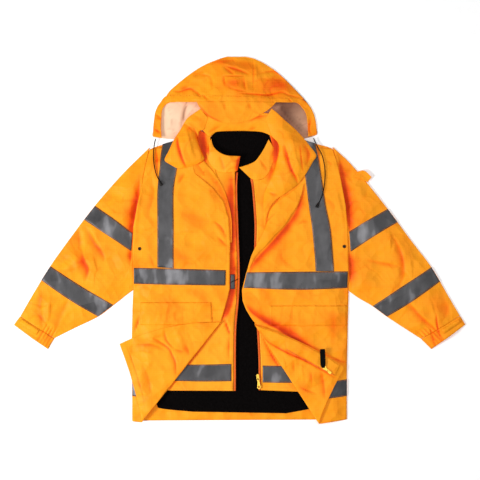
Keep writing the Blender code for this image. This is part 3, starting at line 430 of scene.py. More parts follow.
RIGHT_FLAP_CREASES = [
    # painted shadow under the zip facing's lower edge on the turned corner
    Crease(7, -3, 0.75, [(292, -424), (248, -398), (200, -372), (154, -352), (112, -330), (84, -311), (62, -282)]),
    Crease(7, -2, 0.35, [(166, -372), (168, -402)]),
    Crease(7, -2, 0.35, [(100, -350), (112, -385)]),
    Crease(8, -2, 0.35, [(220, -408), (223, -442)]),
    Crease(12, -2.5, 0.45, [(251, -400), (258, -440), (262, -482)]),
    Crease(4, -1.5, 0.4, [(185, -453), (237, -473)]),
    Crease(8, 2.5, 0.0, [(190, -385), (196, -430)]),
    Crease(8, 2.5, 0.0, [(135, -365), (140, -395)]),
]
HOOD_CREASES = [
    Crease(11, -5, 0.6, [(-46, 538), (-9, 527), (25, 514)]),
    Crease(9, -4, 0.5, [(-46, 533), (-16, 510)]),
    Crease(16, -2, 0.45, [(-85, 549), (-40, 553), (-14, 556)]),
    Crease(5, -3, 0.5, [(-48, 506), (-46, 482), (-40, 472)]),
    Crease(5, -3, 0.5, [(-48, 506), (14, 505)]),
    Crease(5, -3, 0.55, [(14, 505), (16, 480), (21, 458)]),
    Crease(5, -3, 0.5, [(-46, 486), (-24, 467), (21, 456)]),
    Crease(6, -3, 0.45, [(-14, 482), (12, 498)]),
    Crease(7, -3, 0.55, [(12, 492), (20, 462)]),
    Crease(18, -1, 0.3, [(-20, 492), (8, 475)]),
    Crease(3.5, -1.2, 0.4, [(44, 558), (44, 446)]),
    Crease(7, 2, 0.0, [(52, 552), (52, 450)]),
    Crease(60, -1, 0.45, [(40, 470), (100, 486), (180, 462)]),
    Crease(46, -1, 0.4, [(-40, 480), (-10, 488), (24, 480)]),
    Crease(40, -1, 0.3, [(-60, 545), (0, 545), (50, 540)]),
    Crease(9, -3, 0.45, [(66, 516), (107, 521), (141, 503), (170, 474)]),
    Crease(7, -4, 0.65, [(3, 452), (48, 449), (89, 447), (130, 456), (156, 446), (192, 441)]),
    Crease(7, -4, 0.6, [(-205, 462), (-185, 459), (-151, 467), (-128, 449)]),
    Crease(26, -2, 0.4, [(-185, 466), (-160, 470)]),
    Crease(6, -3, 0.35, [(-121, 512), (-90, 502), (-83, 460)]),
    Crease(5, -3, 0.5, [(-134, 460), (-118, 440)]),
    Crease(5, -3, 0.5, [(-113, 448), (-100, 434)]),
    Crease(6, -3, 0.4, [(150, 437), (162, 426)]),
    Crease(7, -3, 0.4, [(-262, 392), (-241, 374)]),
    Crease(7, -3, 0.4, [(-262, 344), (-243, 329)]),
    Crease(6, -3, 0.45, [(196, 440), (206, 422)]),
    Crease(9, -3, 0.5, [(222, 380), (215, 345), (222, 325)]),
    Crease(12, -2, 0.4, [(-128, 420), (-98, 384), (-60, 366)]),
    Crease(8, -2, 0.3, [(29, 420), (36, 404)]),
    Crease(8, -2, 0.3, [(-46, 420), (-43, 402)]),
    Crease(22, 3, 0.0, [(-150, 490), (-95, 525)]),
]
LEFT_COLLAR_CREASES = [
    Crease(8, -7, 0.95, [(-191, 314), (-188, 290), (-176, 250), (-165, 226)]),
    Crease(8, -5, 0.8, [(-139, 342), (-122, 300), (-111, 258)]),
    Crease(15, 4, 0.0, [(-163, 338), (-152, 290), (-140, 252)]),
    Crease(14, -3, 0.4, [(-170, 358), (-135, 330)]),
    Crease(10, 3, 0.0, [(-207, 290), (-212, 255)]),
]
RIGHT_COLLAR_CREASES = [
    Crease(9, -6, 0.8, [(138, 288), (157, 223), (173, 193), (180, 178)]),
    Crease(4, -2, 0.75, [(186, 290), (190, 248), (195, 212)]),
    Crease(15, -2, 0.5, [(203, 290), (213, 262), (206, 232)]),
    Crease(8, -2, 0.35, [(92, 146), (117, 138)]),
    Crease(5, -1.5, 0.35, [(80, 172), (80, 150)]),
    Crease(14, 4, 0.0, [(160, 318), (170, 265), (184, 215)]),
    Crease(10, 3, 0.0, [(128, 290), (140, 235)]),
    Crease(10, -3, 0.45, [(118, 262), (107, 222), (98, 190)]),
]
# Inside of the collar's stand, seen in the gap on each side of the neck, darkened by painted shade of the deep gap
NECK_FACING_LEFT = [
    High(-138, 344, 15.5, -90, 322, 12.5, 0), High(-140, 310, 15.5, -90, 306, 12.5, 0),
    High(-144, 268, 15.5, -84, 262, 12.8, 0), High(-152, 228, 15.8, -74, 214, 12.8, 0),
    High(-150, 205, 15.5, -66, 190, 12.8, 0),
]
NECK_FACING_RIGHT = [
    High(92, 326, 12.5, 132, 330, 15.0, 0), High(98, 298, 12.5, 134, 296, 15.0, 0),
    High(96, 260, 12.6, 132, 255, 15.0, 0), High(80, 212, 12.6, 118, 205, 14.5, 0),
    High(62, 182, 12.6, 100, 165, 14.0, 0),
]
# painted shade of the deep gaps beside the neck, on the neck facings
NECK_SHADE = [
    Crease(34, -0.5, 1.0, [(-112, 360), (-112, 310), (-106, 268), (-112, 220)]),
    Crease(20, -0.2, 0.55, [(-112, 262), (-106, 222), (-84, 190)]),
    Crease(26, -0.5, 1.0, [(108, 345), (114, 300), (114, 262), (108, 230)]),
    Crease(14, -0.2, 0.5, [(108, 240), (98, 210), (86, 178)]),
]
INNER_CREASES = [
    # Mostly painted shadow and shade: the left front's edge casting on the inner front, along the turned corners'
    # folds, beside the left facing and at the left collar's zip edge; the rest are creases with painted shade
    Crease(36, -1, 1.0, [(-25, 200), (-24, 90), (-22, 0), (-22, -60)]),
    Crease(34, -1, 1.0, [(-22, -30), (-20, -140), (-36, -215), (-58, -246)]),
    Crease(7, -1.5, 0.7, [(-46, -245), (-29, -293)]),
    Crease(8, -1, 0.45, [(-32, -299), (-35, -368)]),
    Crease(9, -1, 0.9, [(-60, -258), (-130, -346), (-200, -436), (-214, -456)]),
    Crease(7, -1, 0.6, [(62, -290), (110, -372), (160, -448)]),
    Crease(9, -1, 0.7, [(-112, 250), (-84, 198), (-56, 152)]),
    Crease(7, -1, 0.8, [(0, 256), (-8, 214), (-12, 170)]),
]
FACING_CREASES = [Crease(16, -0.2, 0.35, [(-100, 215), (-60, 165), (-32, 90), (-27, 0)])]
INNER_COLLAR_CREASES = [
    Crease(8, -2, 0.3, [(-60, 258), (-46, 216)]),
    # painted shade in the gap at the collar's zip edge
    Crease(9, -1, 0.9, [(2, 262), (-5, 232), (-7, 205)]),
    Crease(12, -3, 0.7, [(-98, 300), (-96, 262)]),
]
LINING_CREASES = [
    Crease(9, 1.4, 0.85, [(-163, 426), (-171, 390), (-180, 350)]),
    Crease(4, 1.0, 0.25, [(-222, 420), (-212, 380), (-205, 340), (-196, 318)]),
    Crease(4, 1.0, 0.25, [(-130, 420), (-150, 395), (-160, 380)]),
    Crease(4, 1.0, 0.2, [(-240, 330), (-215, 345), (-200, 330)]),
    Crease(5, 1.0, 0.2, [(120, 420), (160, 370), (200, 330)]),
]
COLLAR_BACK_CREASES = [
    Crease(8, -2, 0.6, [(29, 366), (50, 378), (84, 384)]),
    Crease(9, -2, 0.6, [(-62, 366), (-95, 384), (-115, 396)]),
    Crease(7, -2, 0.4, [(50, 345), (30, 338)]),
    Crease(7, -2, 0.35, [(-60, 350), (-95, 330)]),
]


def along(x, y, line):
    """How far each point is from a line of straight pieces, less than 0 on its right, and how far along it
    the nearest place is."""
    spans = [math.dist(a, b) for a, b in zip(line, line[1:])]
    total = sum(spans)
    best = np.full(np.shape(x), np.inf)
    share = np.zeros(np.shape(x))
    done = 0.0
    for (ax, ay), (bx, by), span in zip(line, line[1:], spans):
        t = ((x - ax) * (bx - ax) + (y - ay) * (by - ay)) / span**2
        held = np.clip(t, 0, 1)
        distance = np.hypot(x - ax - held * (bx - ax), y - ay - held * (by - ay))
        nearer = distance < np.abs(best)
        side = np.where((bx - ax) * (y - ay) - (by - ay) * (x - ax) < 0, -1, 1)
        best = np.where(nearer, distance * side, best)
        share = np.where(nearer, (done + held * span) / total, share)
        done += span
    return best, share


def creased(x, y, creases):
    """Height and shade of the listed creases, which fade out towards their ends."""
    height, shade = np.zeros(np.shape(x)), np.zeros(np.shape(x))
    for crease in creases:
        distance, share = along(x, y, through(crease.points, 5).tolist())
        fade = np.sin(math.pi * np.clip(share * 0.86 + 0.07, 0, 1)) ** 0.6
        reach = np.where(distance < 0, SOFT_SIDE, CRISP_SIDE) * crease.width * (0.45 + 0.55 * fade)
        shape = np.exp(-((np.abs(distance) / reach) ** 1.7)) * fade
        height += crease.height * shape
        shade = np.maximum(shade, crease.shade * shape)
    return height, shade


def waves(x, y, seed, shortest, longest, count=12):
    """Smooth unevenness in every direction, about -1 to 1."""
    rng = np.random.default_rng(seed)
    total, weight = np.zeros(np.shape(x)), 0.0
    for length in np.geomspace(longest, shortest, count):
        turn, phase = rng.uniform(0, 2 * math.pi, 2)
        total += length * np.sin(2 * math.pi * (x * math.cos(turn) + y * math.sin(turn)) / length + phase)
        weight += length * length
    return total / math.sqrt(weight / 2) / 1.6


def crumpled(x, y, seed, size):
    """Crisp, narrow valleys between flat facets, as coated cloth creases: 0 to -1."""
    bend = 0.35 * size * waves(x, y, seed + 7, size, 2.5 * size)
    first = waves(x + bend, y - bend, seed, 0.8 * size, 2.5 * size)
    return -np.exp(-((first / 0.16) ** 2)) * np.clip(0.5 + 0.9 * waves(x, y, seed + 3, size, 3 * size), 0, 1)


def facets(x, y, seed, size):
    """Flat slopes that meet in crisp lines: 0 to about 2."""
    bend = 0.2 * size
    u = x + bend * waves(x, y, seed + 1, size, 2 * size)
    v = y + bend * waves(x, y, seed + 2, size, 2 * size)
    broad = np.abs(waves(u, v, seed, 1.2 * size, 3 * size, 6))
    return broad + 0.6 * np.abs(waves(v, u, seed + 4, 0.8 * size, 2 * size, 6))


class Lie:
    """How one part of the garment lies: its top's height and the painted shade of its colour at any place."""

    def __init__(self, top, creases, seed, swell=1.2, crumple=0.8, size=55, edges=(), reach=22, least=None):
        self.top, self.creases, self.seed = top, creases, seed
        self.swell, self.crumple, self.size = swell, crumple, size
        self.edges, self.reach, self.least = edges, reach, least

    def __call__(self, x, y, lift=0.0):
        x, y = np.asarray(x, float), np.asarray(y, float)
        height, shade = creased(x, y, self.creases)
        swelling = 0.5 * waves(x, y, self.seed, 45, 170) + 0.5
        height += self.swell * (swelling - facets(x, y, self.seed + 9, self.size))
        fold = crumpled(x, y, self.seed + 1, self.size)
        height += self.crumple * fold
        # Painted shade: darker in the crumples' valleys, and a tone to each facet as light would give it
        patchy = 0.13 * facets(x, y, self.seed + 5, 1.3 * self.size) - 0.1
        shade = np.clip(shade - 0.14 * fold + patchy, 0, 1)
        for line in self.edges:
            height *= rise(from_line(x, y, line), self.reach)
        z = self.top(x, y) + height
        if self.least is not None:
            z = np.maximum(z, self.least(x, y))
        return z + lift, shade


def body_top(x, y):
    return front_top(x, y) + BODY_LIFT * (front_top(x, y) - EDGE_TOP) / (FRONT_TOP - EDGE_TOP)


def over_inner(x, y):
    """Lowest that the outer fronts may go: clear of the inner jacket, or of the back beside it."""
    inside = (np.abs(x) < 262) & (y < 255) & (y > -475)
    return np.where(inside, inner_top(x, y) + 2.2, np.minimum(EDGE_TOP, body_top(x, y)))


def over_floor(x, y):
    return np.full(np.shape(x), EDGE_TOP)


OUTLINE = (UPPER_LEFT, LOWER_LEFT, UPPER_RIGHT, LOWER_RIGHT)
BODY = Lie(body_top, BODY_CREASES, 11, 1.1, 0.9, 60, OUTLINE, least=over_inner)
SLEEVE = Lie(front_top, SLEEVE_CREASES, 23, 1.6, 1.2, 75, OUTLINE, least=over_floor)
HOOD = Lie(hood_top, HOOD_CREASES, 31, 1.6, 1.2, 60, (HOOD_ARC,), least=over_floor)
PEAK = Lie(peak_top, HOOD_CREASES, 31, 1.2, 0.5, 60)
INNER_LIE = Lie(inner_top, INNER_CREASES, 43, 0.5, 0.3, 60)
FLEECE_LIE = Lie(lambda x, y: np.full(np.shape(x), INNER_BACK_TOP), [], 47, 0.3, 0.2, 80)
BACK_LIE = Lie(lambda x, y: np.full(np.shape(x), SHELL + 0.15), [], 53, 0.1, 0.1, 80)


class HoodFloor(Lie):
    """The hood's lining on the floor: the window away from the light is browner."""

    def __call__(self, x, y, lift=0.0):
        z, shade = super().__call__(x, y, lift)
        right = np.clip((x - 70) / 60, 0, 1) * np.clip(1.05 - (x - 130) / 260, 0.4, 1)
        top = np.clip((y - 300) / 130, 0, 1)
        return z, np.clip(shade + right * (0.6 + 0.4 * top), 0, 1)


HOOD_FLOOR = HoodFloor(lambda x, y: np.full(np.shape(x), SHELL + 0.4), LINING_CREASES, 59, 0.35, 0.3, 40,
                       least=lambda x, y: np.full(np.shape(x), SHELL + 0.05))
LEFT_FLAP = Lie(body_top, LEFT_FLAP_CREASES, 97, 1.6, 1.2, 55)
RIGHT_FLAP = Lie(body_top, RIGHT_FLAP_CREASES, 101, 1.4, 1.0, 55)


# ---- materials ----

# Colours from flat, lit cloth to painted shade at the depth of a fold
ORANGE = [(0.0, (255, 163, 26)), (0.3, (255, 136, 14)), (0.62, (240, 84, 3)), (1.0, (196, 38, 1))]
INNER_ORANGE = [(0.0, (255, 168, 34)), (0.3, (255, 140, 18)), (0.62, (234, 76, 4)), (1.0, (182, 30, 1))]
ZIP_RED = [(0.0, (235, 104, 28)), (0.5, (214, 66, 10)), (1.0, (160, 26, 2))]
LINING = [(0.0, (252, 214, 178)), (0.45, (214, 164, 130)), (1.0, (128, 84, 62))]
# the tape's grey, lightened at the upper stops into painted highlights
TAPE_GREY_AND_HIGHLIGHTS = [(0.4, (62, 61, 63)), (0.56, (78, 77, 79)), (0.6, (104, 103, 106)), (0.7, (132, 131, 134))]
# Painted glow: a steady emission standing in for the cloth's fluorescence, which also lifts its shaded parts
PAINTED_GLOW, ZIP_PAINTED_GLOW = ((255, 110, 8), 0.10), ((255, 60, 4), 0.04)      # fluorescence: colour and strength
OUTER_WEAVE, LINING_WEAVE = 0.0009, 0.0007       # thread pitch in metres
# Painted shade: random patches that break up the fold shade, and a shade to each crinkle facet as light would give
# it
FOLD_PATCHES, FACET_SHADE, FACET_MIDDLE = 0.3, 0.16, 0.42
FACETS, FINE_FACETS = 13, 34      # to a metre

def linear(red, green, blue):
    """A screen colour, 0 to 255, as the shader's linear one."""
    return tuple(v / 255 / 12.92 if v <= 10 else ((v / 255 + 0.055) / 1.055) ** 2.4 for v in (red, green, blue))


class Finish:
    """A material whose nodes are added one by one, fed by the cloth's own coordinates in metres."""

    def __init__(self, name, roughness, metallic=0.0, sheen=0.0, specular=0.5, emission=None):
        self.material = bpy.data.materials.new(name)
        self.material.use_nodes = True
        self.nodes = self.material.node_tree.nodes
        self.links = self.material.node_tree.links
        self.shader = self.nodes["Principled BSDF"]
        self.shader.inputs["Roughness"].default_value = roughness
        self.shader.inputs["Metallic"].default_value = metallic
        self.shader.inputs["Sheen Weight"].default_value = sheen
        self.shader.inputs["Specular IOR Level"].default_value = specular
        if emission:
            colour, strength = emission
            self.shader.inputs["Emission Color"].default_value = (*linear(*colour), 1)
            self.shader.inputs["Emission Strength"].default_value = strength
        self.place = self.nodes.new("ShaderNodeTexCoord").outputs["Object"]

    def add(self, kind, inputs=(), **settings):
        node = self.nodes.new("ShaderNode" + kind)
        for key, value in settings.items():
            setattr(node, key, value)
        for key, value in dict(inputs).items():
            if isinstance(value, bpy.types.NodeSocket):
                self.links.new(value, node.inputs[key])
            else:
                node.inputs[key].default_value = value
        return node

    def noise(self, scale, detail=4.0, distortion=0.0, stretch=None):
        place = self.place
        if stretch:
            place = self.add("Mapping", {"Vector": place, "Scale": stretch}).outputs["Vector"]
        values = {"Vector": place, "Scale": scale, "Detail": detail, "Distortion": distortion}
        return self.add("TexNoise", values).outputs["Fac"]

    def ramp(self, value, stops):
        node = self.add("ValToRGB", {"Fac": value})
        elements = node.color_ramp.elements
        while len(elements) < len(stops):
            elements.new(0.5)
        for element, (position, colour) in zip(elements, stops):
            element.position = position
            element.color = (*linear(*colour), 1)
        return node.outputs["Color"]

    def mix(self, first, second, share, blend="MIX"):
        node = self.add("Mix", data_type="RGBA", blend_type=blend)
        for key, value in ((0, share), (6, first), (7, second)):
            if isinstance(value, bpy.types.NodeSocket):
                self.links.new(value, node.inputs[key])
            else:
                node.inputs[key].default_value = value
        return node.outputs[2]

    def math(self, operation, first, second):
        node = self.add("Math", operation=operation)
        for key, value in ((0, first), (1, second)):
            if isinstance(value, bpy.types.NodeSocket):
                self.links.new(value, node.inputs[key])
            else:
                node.inputs[key].default_value = value
        return node.outputs[0]

    def weave(self, pitch):
        """Raised threads one way crossing threads the other way, a pitch apart."""
        scale = 1 / (pitch * 20)
        ways = [
            self.add("TexWave", {"Vector": self.place, "Scale": scale, "Distortion": 0.4, "Detail Scale": 2.0},
                     bands_direction=way).outputs["Fac"]
            for way in ("X", "Y")
        ]
        return self.math("MULTIPLY", *ways)

    def crinkle(self, scale):
        """Slopes that meet in crisp, nearly straight lines."""
        bent = self.add("TexNoise", {"Vector": self.place, "Scale": 0.7 * scale, "Detail": 2.0}).outputs["Color"]
        place = self.add("Mix", {0: 0.35 / scale, 4: self.place, 5: bent}, data_type="VECTOR").outputs[1]
        return self.add("TexVoronoi", {"Vector": place, "Scale": scale}).outputs["Distance"]

    def shade(self):
        """The cloth's painted fold shade from the mesh's fold attribute, broken up a little by random patches,
        with painted shade to each facet.
        """
        held = self.add("Attribute", attribute_name="fold").outputs["Fac"]
        patchy = self.math("MULTIPLY", self.math("SUBTRACT", self.noise(26, 5, 0.4), 0.5), FOLD_PATCHES)
        facet = self.math("MULTIPLY", self.math("SUBTRACT", self.crinkle(FACETS), FACET_MIDDLE), FACET_SHADE)
        return self.math("ADD", self.math("ADD", held, patchy), facet)

    def colour(self, value):
        self.links.new(value, self.shader.inputs["Base Color"])

    def rough(self, value, low, high):
        node = self.add("MapRange", {"Value": value, "To Min": low, "To Max": high})
        self.links.new(node.outputs["Result"], self.shader.inputs["Roughness"])

    def bump(self, value, depth, strength=0.6):
        """Relief of this depth in metres, on top of any relief already there."""
        before = self.shader.inputs["Normal"].links
        values = {"Height": value, "Distance": depth, "Strength": strength}
        if before:
            values["Normal"] = before[0].from_socket
        node = self.add("Bump", values)
        self.links.new(node.outputs["Normal"], self.shader.inputs["Normal"])


def hi_vis(name, stops, emission):
    """Fluorescent coated polyester: a plain weave with a faint gloss, with painted shade that makes it redder in
    its folds, and a painted glow.
    """
    finish = Finish(name, 0.58, specular=0.12, emission=emission)
    body = finish.ramp(finish.shade(), stops)
    thread = finish.ramp(finish.weave(OUTER_WEAVE), [(0.0, (226, 226, 226)), (0.6, (255, 255, 255))])
    finish.colour(finish.mix(body, thread, 0.5, "MULTIPLY"))
    finish.rough(finish.noise(60, 3), 0.44, 0.62)
    finish.bump(finish.weave(OUTER_WEAVE), 0.00012)
    finish.bump(finish.noise(55, 6, 0.3), 0.0012, 0.35)
    finish.bump(finish.crinkle(FACETS), 0.014, 0.8)
    finish.bump(finish.crinkle(FINE_FACETS), 0.005, 0.7)
    return finish.material


def reflective(name):
    """Glass bead tape: grey with a satin shine, and painted highlights in lighter patches as on its bends."""
    finish = Finish(name, 0.42, metallic=0.25, specular=0.5)
    highlight_patches = finish.noise(15, 2, 0.1, (1.5, 0.6, 1.0))
    ground = finish.ramp(highlight_patches, TAPE_GREY_AND_HIGHLIGHTS)
    beads = finish.add("TexVoronoi", {"Vector": finish.place, "Scale": 2200.0}).outputs["Distance"]
    finish.colour(ground)
    finish.rough(finish.noise(22, 4), 0.34, 0.55)
    finish.bump(beads, 0.00008, 0.4)
    finish.bump(finish.crinkle(17), 0.009, 0.55)
    return finish.material


def fleece(name):
    """Black brushed fleece, matted into small tufts."""
    finish = Finish(name, 0.95, specular=0.04)
    tufts = finish.noise(420, 5, 0.8)
    finish.colour(finish.ramp(tufts, [(0.35, (2, 1, 1)), (0.65, (13, 10, 10))]))
    finish.bump(tufts, 0.0012, 0.8)
    finish.bump(finish.noise(60, 3), 0.0015, 0.4)
    return finish.material


def peach(name):
    """The thin lining of the hood, browner where the hood shades it."""
    finish = Finish(name, 0.62, sheen=0.1, specular=0.3)
    finish.colour(finish.ramp(finish.shade(), LINING))
    finish.bump(finish.weave(LINING_WEAVE), 0.0001)
    finish.bump(finish.noise(40, 5, 0.5), 0.0012, 0.4)
    return finish.material


def simple(name, dark, light, roughness, metallic=0.0, scale=300.0, depth=0.0002, sheen=0.0, specular=0.5):
    """A moulded, braided or metal finish: two close tones and a fine relief."""
    finish = Finish(name, roughness, metallic, sheen, specular)
    grain = finish.noise(scale, 4, 0.2)
    finish.colour(finish.ramp(grain, [(0.35, dark), (0.65, light)]))
    finish.rough(finish.noise(scale / 4, 3), max(roughness - 0.1, 0.05), roughness + 0.1)
    finish.bump(grain, depth, 0.5)
    return finish.material


# ---- meshes ----

def finish_piece(obj, material, nodes, body="garment"):
    """Gives the piece its finish and the body it rides, and hides the solids that it stands for."""
    obj.data.materials.append(material)
    bpy.context.scene.collection.objects.link(obj)
    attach(obj, body)
    if nodes:
        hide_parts(*nodes)
    return obj


def mesh_of(name, points, faces, fold=None):
    """A smooth mesh from points in millimetres."""
    mesh = bpy.data.meshes.new(name)
    mesh.from_pydata((np.asarray(points).reshape(-1, 3) * MM).tolist(), [], faces)
    mesh.update()
    # the fold attribute is the painted shade that the cloth's colour ramp reads
    if fold is not None:
        held = mesh.attributes.new("fold", "FLOAT", "POINT")
        held.data.foreach_set("value", np.asarray(fold, np.float32).ravel())
    mesh.shade_smooth()
    return mesh


def grid_faces(rows, columns, ring=False):
    spans = columns if ring else columns - 1
    return [
        (r * columns + c, r * columns + (c + 1) % columns, (r + 1) * columns + (c + 1) % columns,
         (r + 1) * columns + c)
        for r in range(rows - 1)
        for c in range(spans)
    ]


SEWN = {}


def cloth(name, points, wall, material, slot_name, fold=None, held="laid", rests=("outer_back",), ring=False,
          with_pieces=(), trim=False):
    """A piece of cloth of this wall whose outer face goes through a grid of points."""
    rows, columns = points.shape[:2]
    mesh = mesh_of(name, points, grid_faces(rows, columns, ring), fold)
    looks_up = mesh.polygons[len(mesh.polygons) // 3 if not ring else 0].normal
    way = Vector(points[0, 0] - points.mean(axis=1)[0]) if ring else Vector((0, 0, 1))
    if looks_up.dot(way) < 0:
        mesh.flip_normals()
    obj = bpy.data.objects.new(name + "_cloth", mesh)
    shell = obj.modifiers.new("wall", "SOLIDIFY")
    shell.thickness = wall * MM
    shell.offset = -1
    finish_piece(obj, material, [name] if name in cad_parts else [])
    SEWN[name] = points
    if trim:
        return obj
    return obj


def counts(rows, spacing=GRID):
    """How many points across and how many steps between two rows give this spacing."""
    table = np.array(rows, float)
    half = 3 if table.shape[1] >= 7 else 2
    a, b = table[:, :2], table[:, half:half + 2]
    across = max(int(np.linalg.norm(a - b, axis=1).max() / spacing), 2)
    longest = max(np.linalg.norm(np.diff(edge, axis=0), axis=1).max() for edge in (a, b))
    return across, max(int(longest / spacing), 1)


def draped(name, rows, lie, material, slot_name, wall=SHELL, lift=0.0, spacing=GRID, **more):
    """A strip or panel that lies as the garment under it does."""
    plan = sections(rows, *counts(rows, spacing))
    z, fold = lie(plan[..., 0], plan[..., 1], lift)
    points = np.dstack([plan[..., :2], z])
    return cloth(name, points, wall, material, slot_name, fold, **more)


def sections(rows, across, steps):
    """Points of a panel, [along, across]: straight across each section, smooth from one to the next."""
    curve = through(rows, steps)
    t = (np.linspace(0, 1, across + 1) if isinstance(across, int) else np.array(across))[None, :, None]
    if curve.shape[1] == len(Row._fields):
        a, b = curve[:, None, :2], curve[:, None, 2:]
        return a * (1 - t) + b * t
    a, b, crown = curve[:, None, :3], curve[:, None, 3:6], curve[:, None, 6:]
    points = a * (1 - t) + b * t
    points[..., 2:] += crown * np.sin(math.pi * t)
    return points


def shaped(name, rows, creases, seed, material, slot_name, wall=SHELL, lift=0.0, swell=0.7, spacing=GRID, **more):
    """A piece that stands up by itself, such as a collar, with its own creases."""
    points = sections(rows, *counts(rows, spacing))
    x, y = points[..., 0], points[..., 1]
    height, fold = creased(x, y, creases)
    height += swell * waves(x, y, seed, 30, 110)
    crisp = crumpled(x, y, seed + 1, 45)
    points[..., 2] += height + 0.7 * crisp + lift
    # painted shade from the creases, darker in the crumples' valleys
    fold = np.clip(fold - 0.16 * crisp, 0, 1)
    return cloth(name, points, wall, material, slot_name, fold, **more)


def edge_outward(start, end, inner):
    """The direction across an edge, away from a point inside."""
    way = (end - start) / np.linalg.norm(end - start)
    across = np.array([way[1], -way[0]])
    return across if across.dot(inner - start) < 0 else -across


def corner_rows(fold, roll_steps=10, flap_steps=56):
    """Sections of the corner beyond its fold line, in the flat cut: close together on the roll."""
    p, q, c = np.array(fold[0:2]), np.array(fold[2:4]), np.array(fold[4:6])
    way = (q - p) / np.linalg.norm(q - p)
    depth = abs(way[0] * (c - p)[1] - way[1] * (c - p)[0])
    on_roll = [math.pi * ROLL * k / roll_steps / depth for k in range(1, roll_steps + 1)]
    on_flap = np.linspace(on_roll[-1], 0.995, flap_steps)[1:]
    out_front, out_hem = edge_outward(p, c, q), edge_outward(q, c, p)
    rows = []
    for u in [0.0, *on_roll, *on_flap]:
        arch = 4 * u * (1 - u)
        a = q + (c - q) * u + out_hem * fold.hem_bow * arch
        b = p + (c - p) * u + out_front * fold.front_bow * arch
        rows.append((*a, *b))
    return rows


def turned_over(points, fold, under, over):
    """Flat points laid out, those beyond the fold line rolled up and over: the points and their painted shade."""
    p, q, c = np.array(fold[0:2]), np.array(fold[2:4]), np.array(fold[4:6])
    out = edge_outward(p, q, 2 * p - c)
    beyond = (points - p) @ out
    foot = points - beyond[..., None] * out
    angle = np.clip(beyond / ROLL, 0, math.pi)
    reach = np.where(beyond <= 0, beyond, ROLL * np.sin(angle) - np.maximum(beyond - math.pi * ROLL, 0))
    plan = foot + reach[..., None] * out
    x, y = plan[..., 0], plan[..., 1]
    below, painted_shade_below = under(x, y)
    above, painted_shade_above = over(x, y)
    share = angle / math.pi
    z = below * (1 - share) + (above + 2 * ROLL) * share - ROLL * (np.cos(angle) - 1 + 2 * share)
    shade = painted_shade_below * (1 - share) + painted_shade_above * share
    return np.dstack([x, y, z]), shade


def resampled(rows, spacing=GRID):
    """A table's rows, straight from one to the next, closer together."""
    made = []
    for first, second in zip(rows, rows[1:]):
        steps = max(int(max(math.dist(first[:2], second[:2]), math.dist(first[2:], second[2:])) / spacing), 1)
        made += [tuple(np.array(first) * (1 - k / steps) + np.array(second) * k / steps) for k in range(steps)]
    return made


def front_panel(name, rows, fold, flap, material):
    """A front with its lower corner turned over."""
    table = resampled([tuple(row) for row in rows] + [tuple(corner_rows(fold)[0])]) + corner_rows(fold)
    across = int(330 / GRID)
    t = np.linspace(0, 1, across + 1)[None, :, None]
    table = np.array(table, float)
    flat = table[:, None, :2] * (1 - t) + table[:, None, 2:] * t
    points, shade = turned_over(flat, fold, BODY, flap)
    return cloth(name, points, SHELL, material, "outer_cloth", shade, held="folded",
                 rests=("outer_back", "inner_back"))


def sleeve(name, rows, side, lie, material, gathers=()):
    """A flattened tube: the top lies in its folds and the underside lies on the floor."""
    across, steps = counts(rows)
    plan = sections(rows, across, steps)
    if side is not None:
        seam = np.array([armhole(side, y, 0) for y in plan[0][:, 1]])
        fade = np.clip(1 - np.arange(len(plan)) / (1.5 * steps), 0, 1)
        plan[..., 0] += fade[:, None] * (seam[:, 0] - plan[0][:, 0])[None, :]
    x, y = plan[..., 0], plan[..., 1]
    z, shade = lie(x, y)
    more, dark = creased(x, y, gathers)
    z = np.maximum(z + more, EDGE_TOP)
    shade = np.maximum(shade, dark)
    under = np.dstack([plan, np.zeros(x.shape)])[:, ::-1]
    points = np.concatenate([np.dstack([plan, z]), under], axis=1)
    return cloth(name, points, SHELL, material, "outer_cloth", np.concatenate([shade, shade[:, ::-1] * 0], axis=1),
                 ring=True, rests=("outer_back",))


# ---- stitching ----

class Thread:
    """Stitches gathered into one mesh: short lens shapes along a line."""

    def __init__(self):
        self.points, self.faces = [], []

    def run(self, line, pitch=4.2, length=2.8, wide=0.55, high=0.14):
        line = np.asarray(line, float)
        reach = np.concatenate([[0], np.cumsum(np.linalg.norm(np.diff(line, axis=0), axis=1))])
        for start in np.arange(pitch / 2, reach[-1] - pitch / 2, pitch):
            a, b = (np.array([np.interp(start + s * length, reach, line[:, k]) for k in range(3)]) for s in (0, 1))
            way = (b - a) / max(np.linalg.norm(b - a), 1e-6)
            side = np.array([-way[1], way[0], 0]) * wide
            middle = (a + b) / 2
            first = len(self.points)
            up = np.array([0, 0, high])
            self.points += [a, b, middle + side, middle - side, middle + up, middle - up]
            for e in ((0, 2, 4), (2, 1, 4), (1, 3, 4), (3, 0, 4), (2, 0, 5), (1, 2, 5), (3, 1, 5), (0, 3, 5)):
                self.faces.append(tuple(first + k for k in e))

    def across(self, name, share, lift=0.15, **more):
        """A run along the piece at this share of the way across it."""
        points = SEWN[name]
        self.run(at_share(points, share, 1) + [0, 0, lift], **more)

    def both_sides(self, name):
        self.across(name, 0.05)
        self.across(name, 0.95)

    def down(self, name, share, lift=0.15, first=0.0, last=1.0, **more):
        """A run across the piece at this share of its length."""
        line = at_share(SEWN[name], share, 0) + [0, 0, lift]
        n = len(line) - 1
        self.run(line[int(first * n):int(last * n) + 1], **more)

    def on(self, lie, line, lift, **more):
        """A run through plan points, on whatever lies there."""
        plan = through(line, 12)
        z, _ = lie(plan[:, 0], plan[:, 1], lift)
        self.run(np.column_stack([plan, z]), **more)

    def made(self, name, material):
        obj = bpy.data.objects.new(name, mesh_of(name, self.points, self.faces))
        return finish_piece(obj, material, [])


def at_share(points, share, axis):
    """The line of a grid at this share of one way across it."""
    n = points.shape[axis] - 1
    k = min(int(share * n), n - 1)
    t = share * n - k
    first, second = (np.take(points, k + s, axis=axis) for s in (0, 1))
    return first * (1 - t) + second * t


# ---- hard parts ----

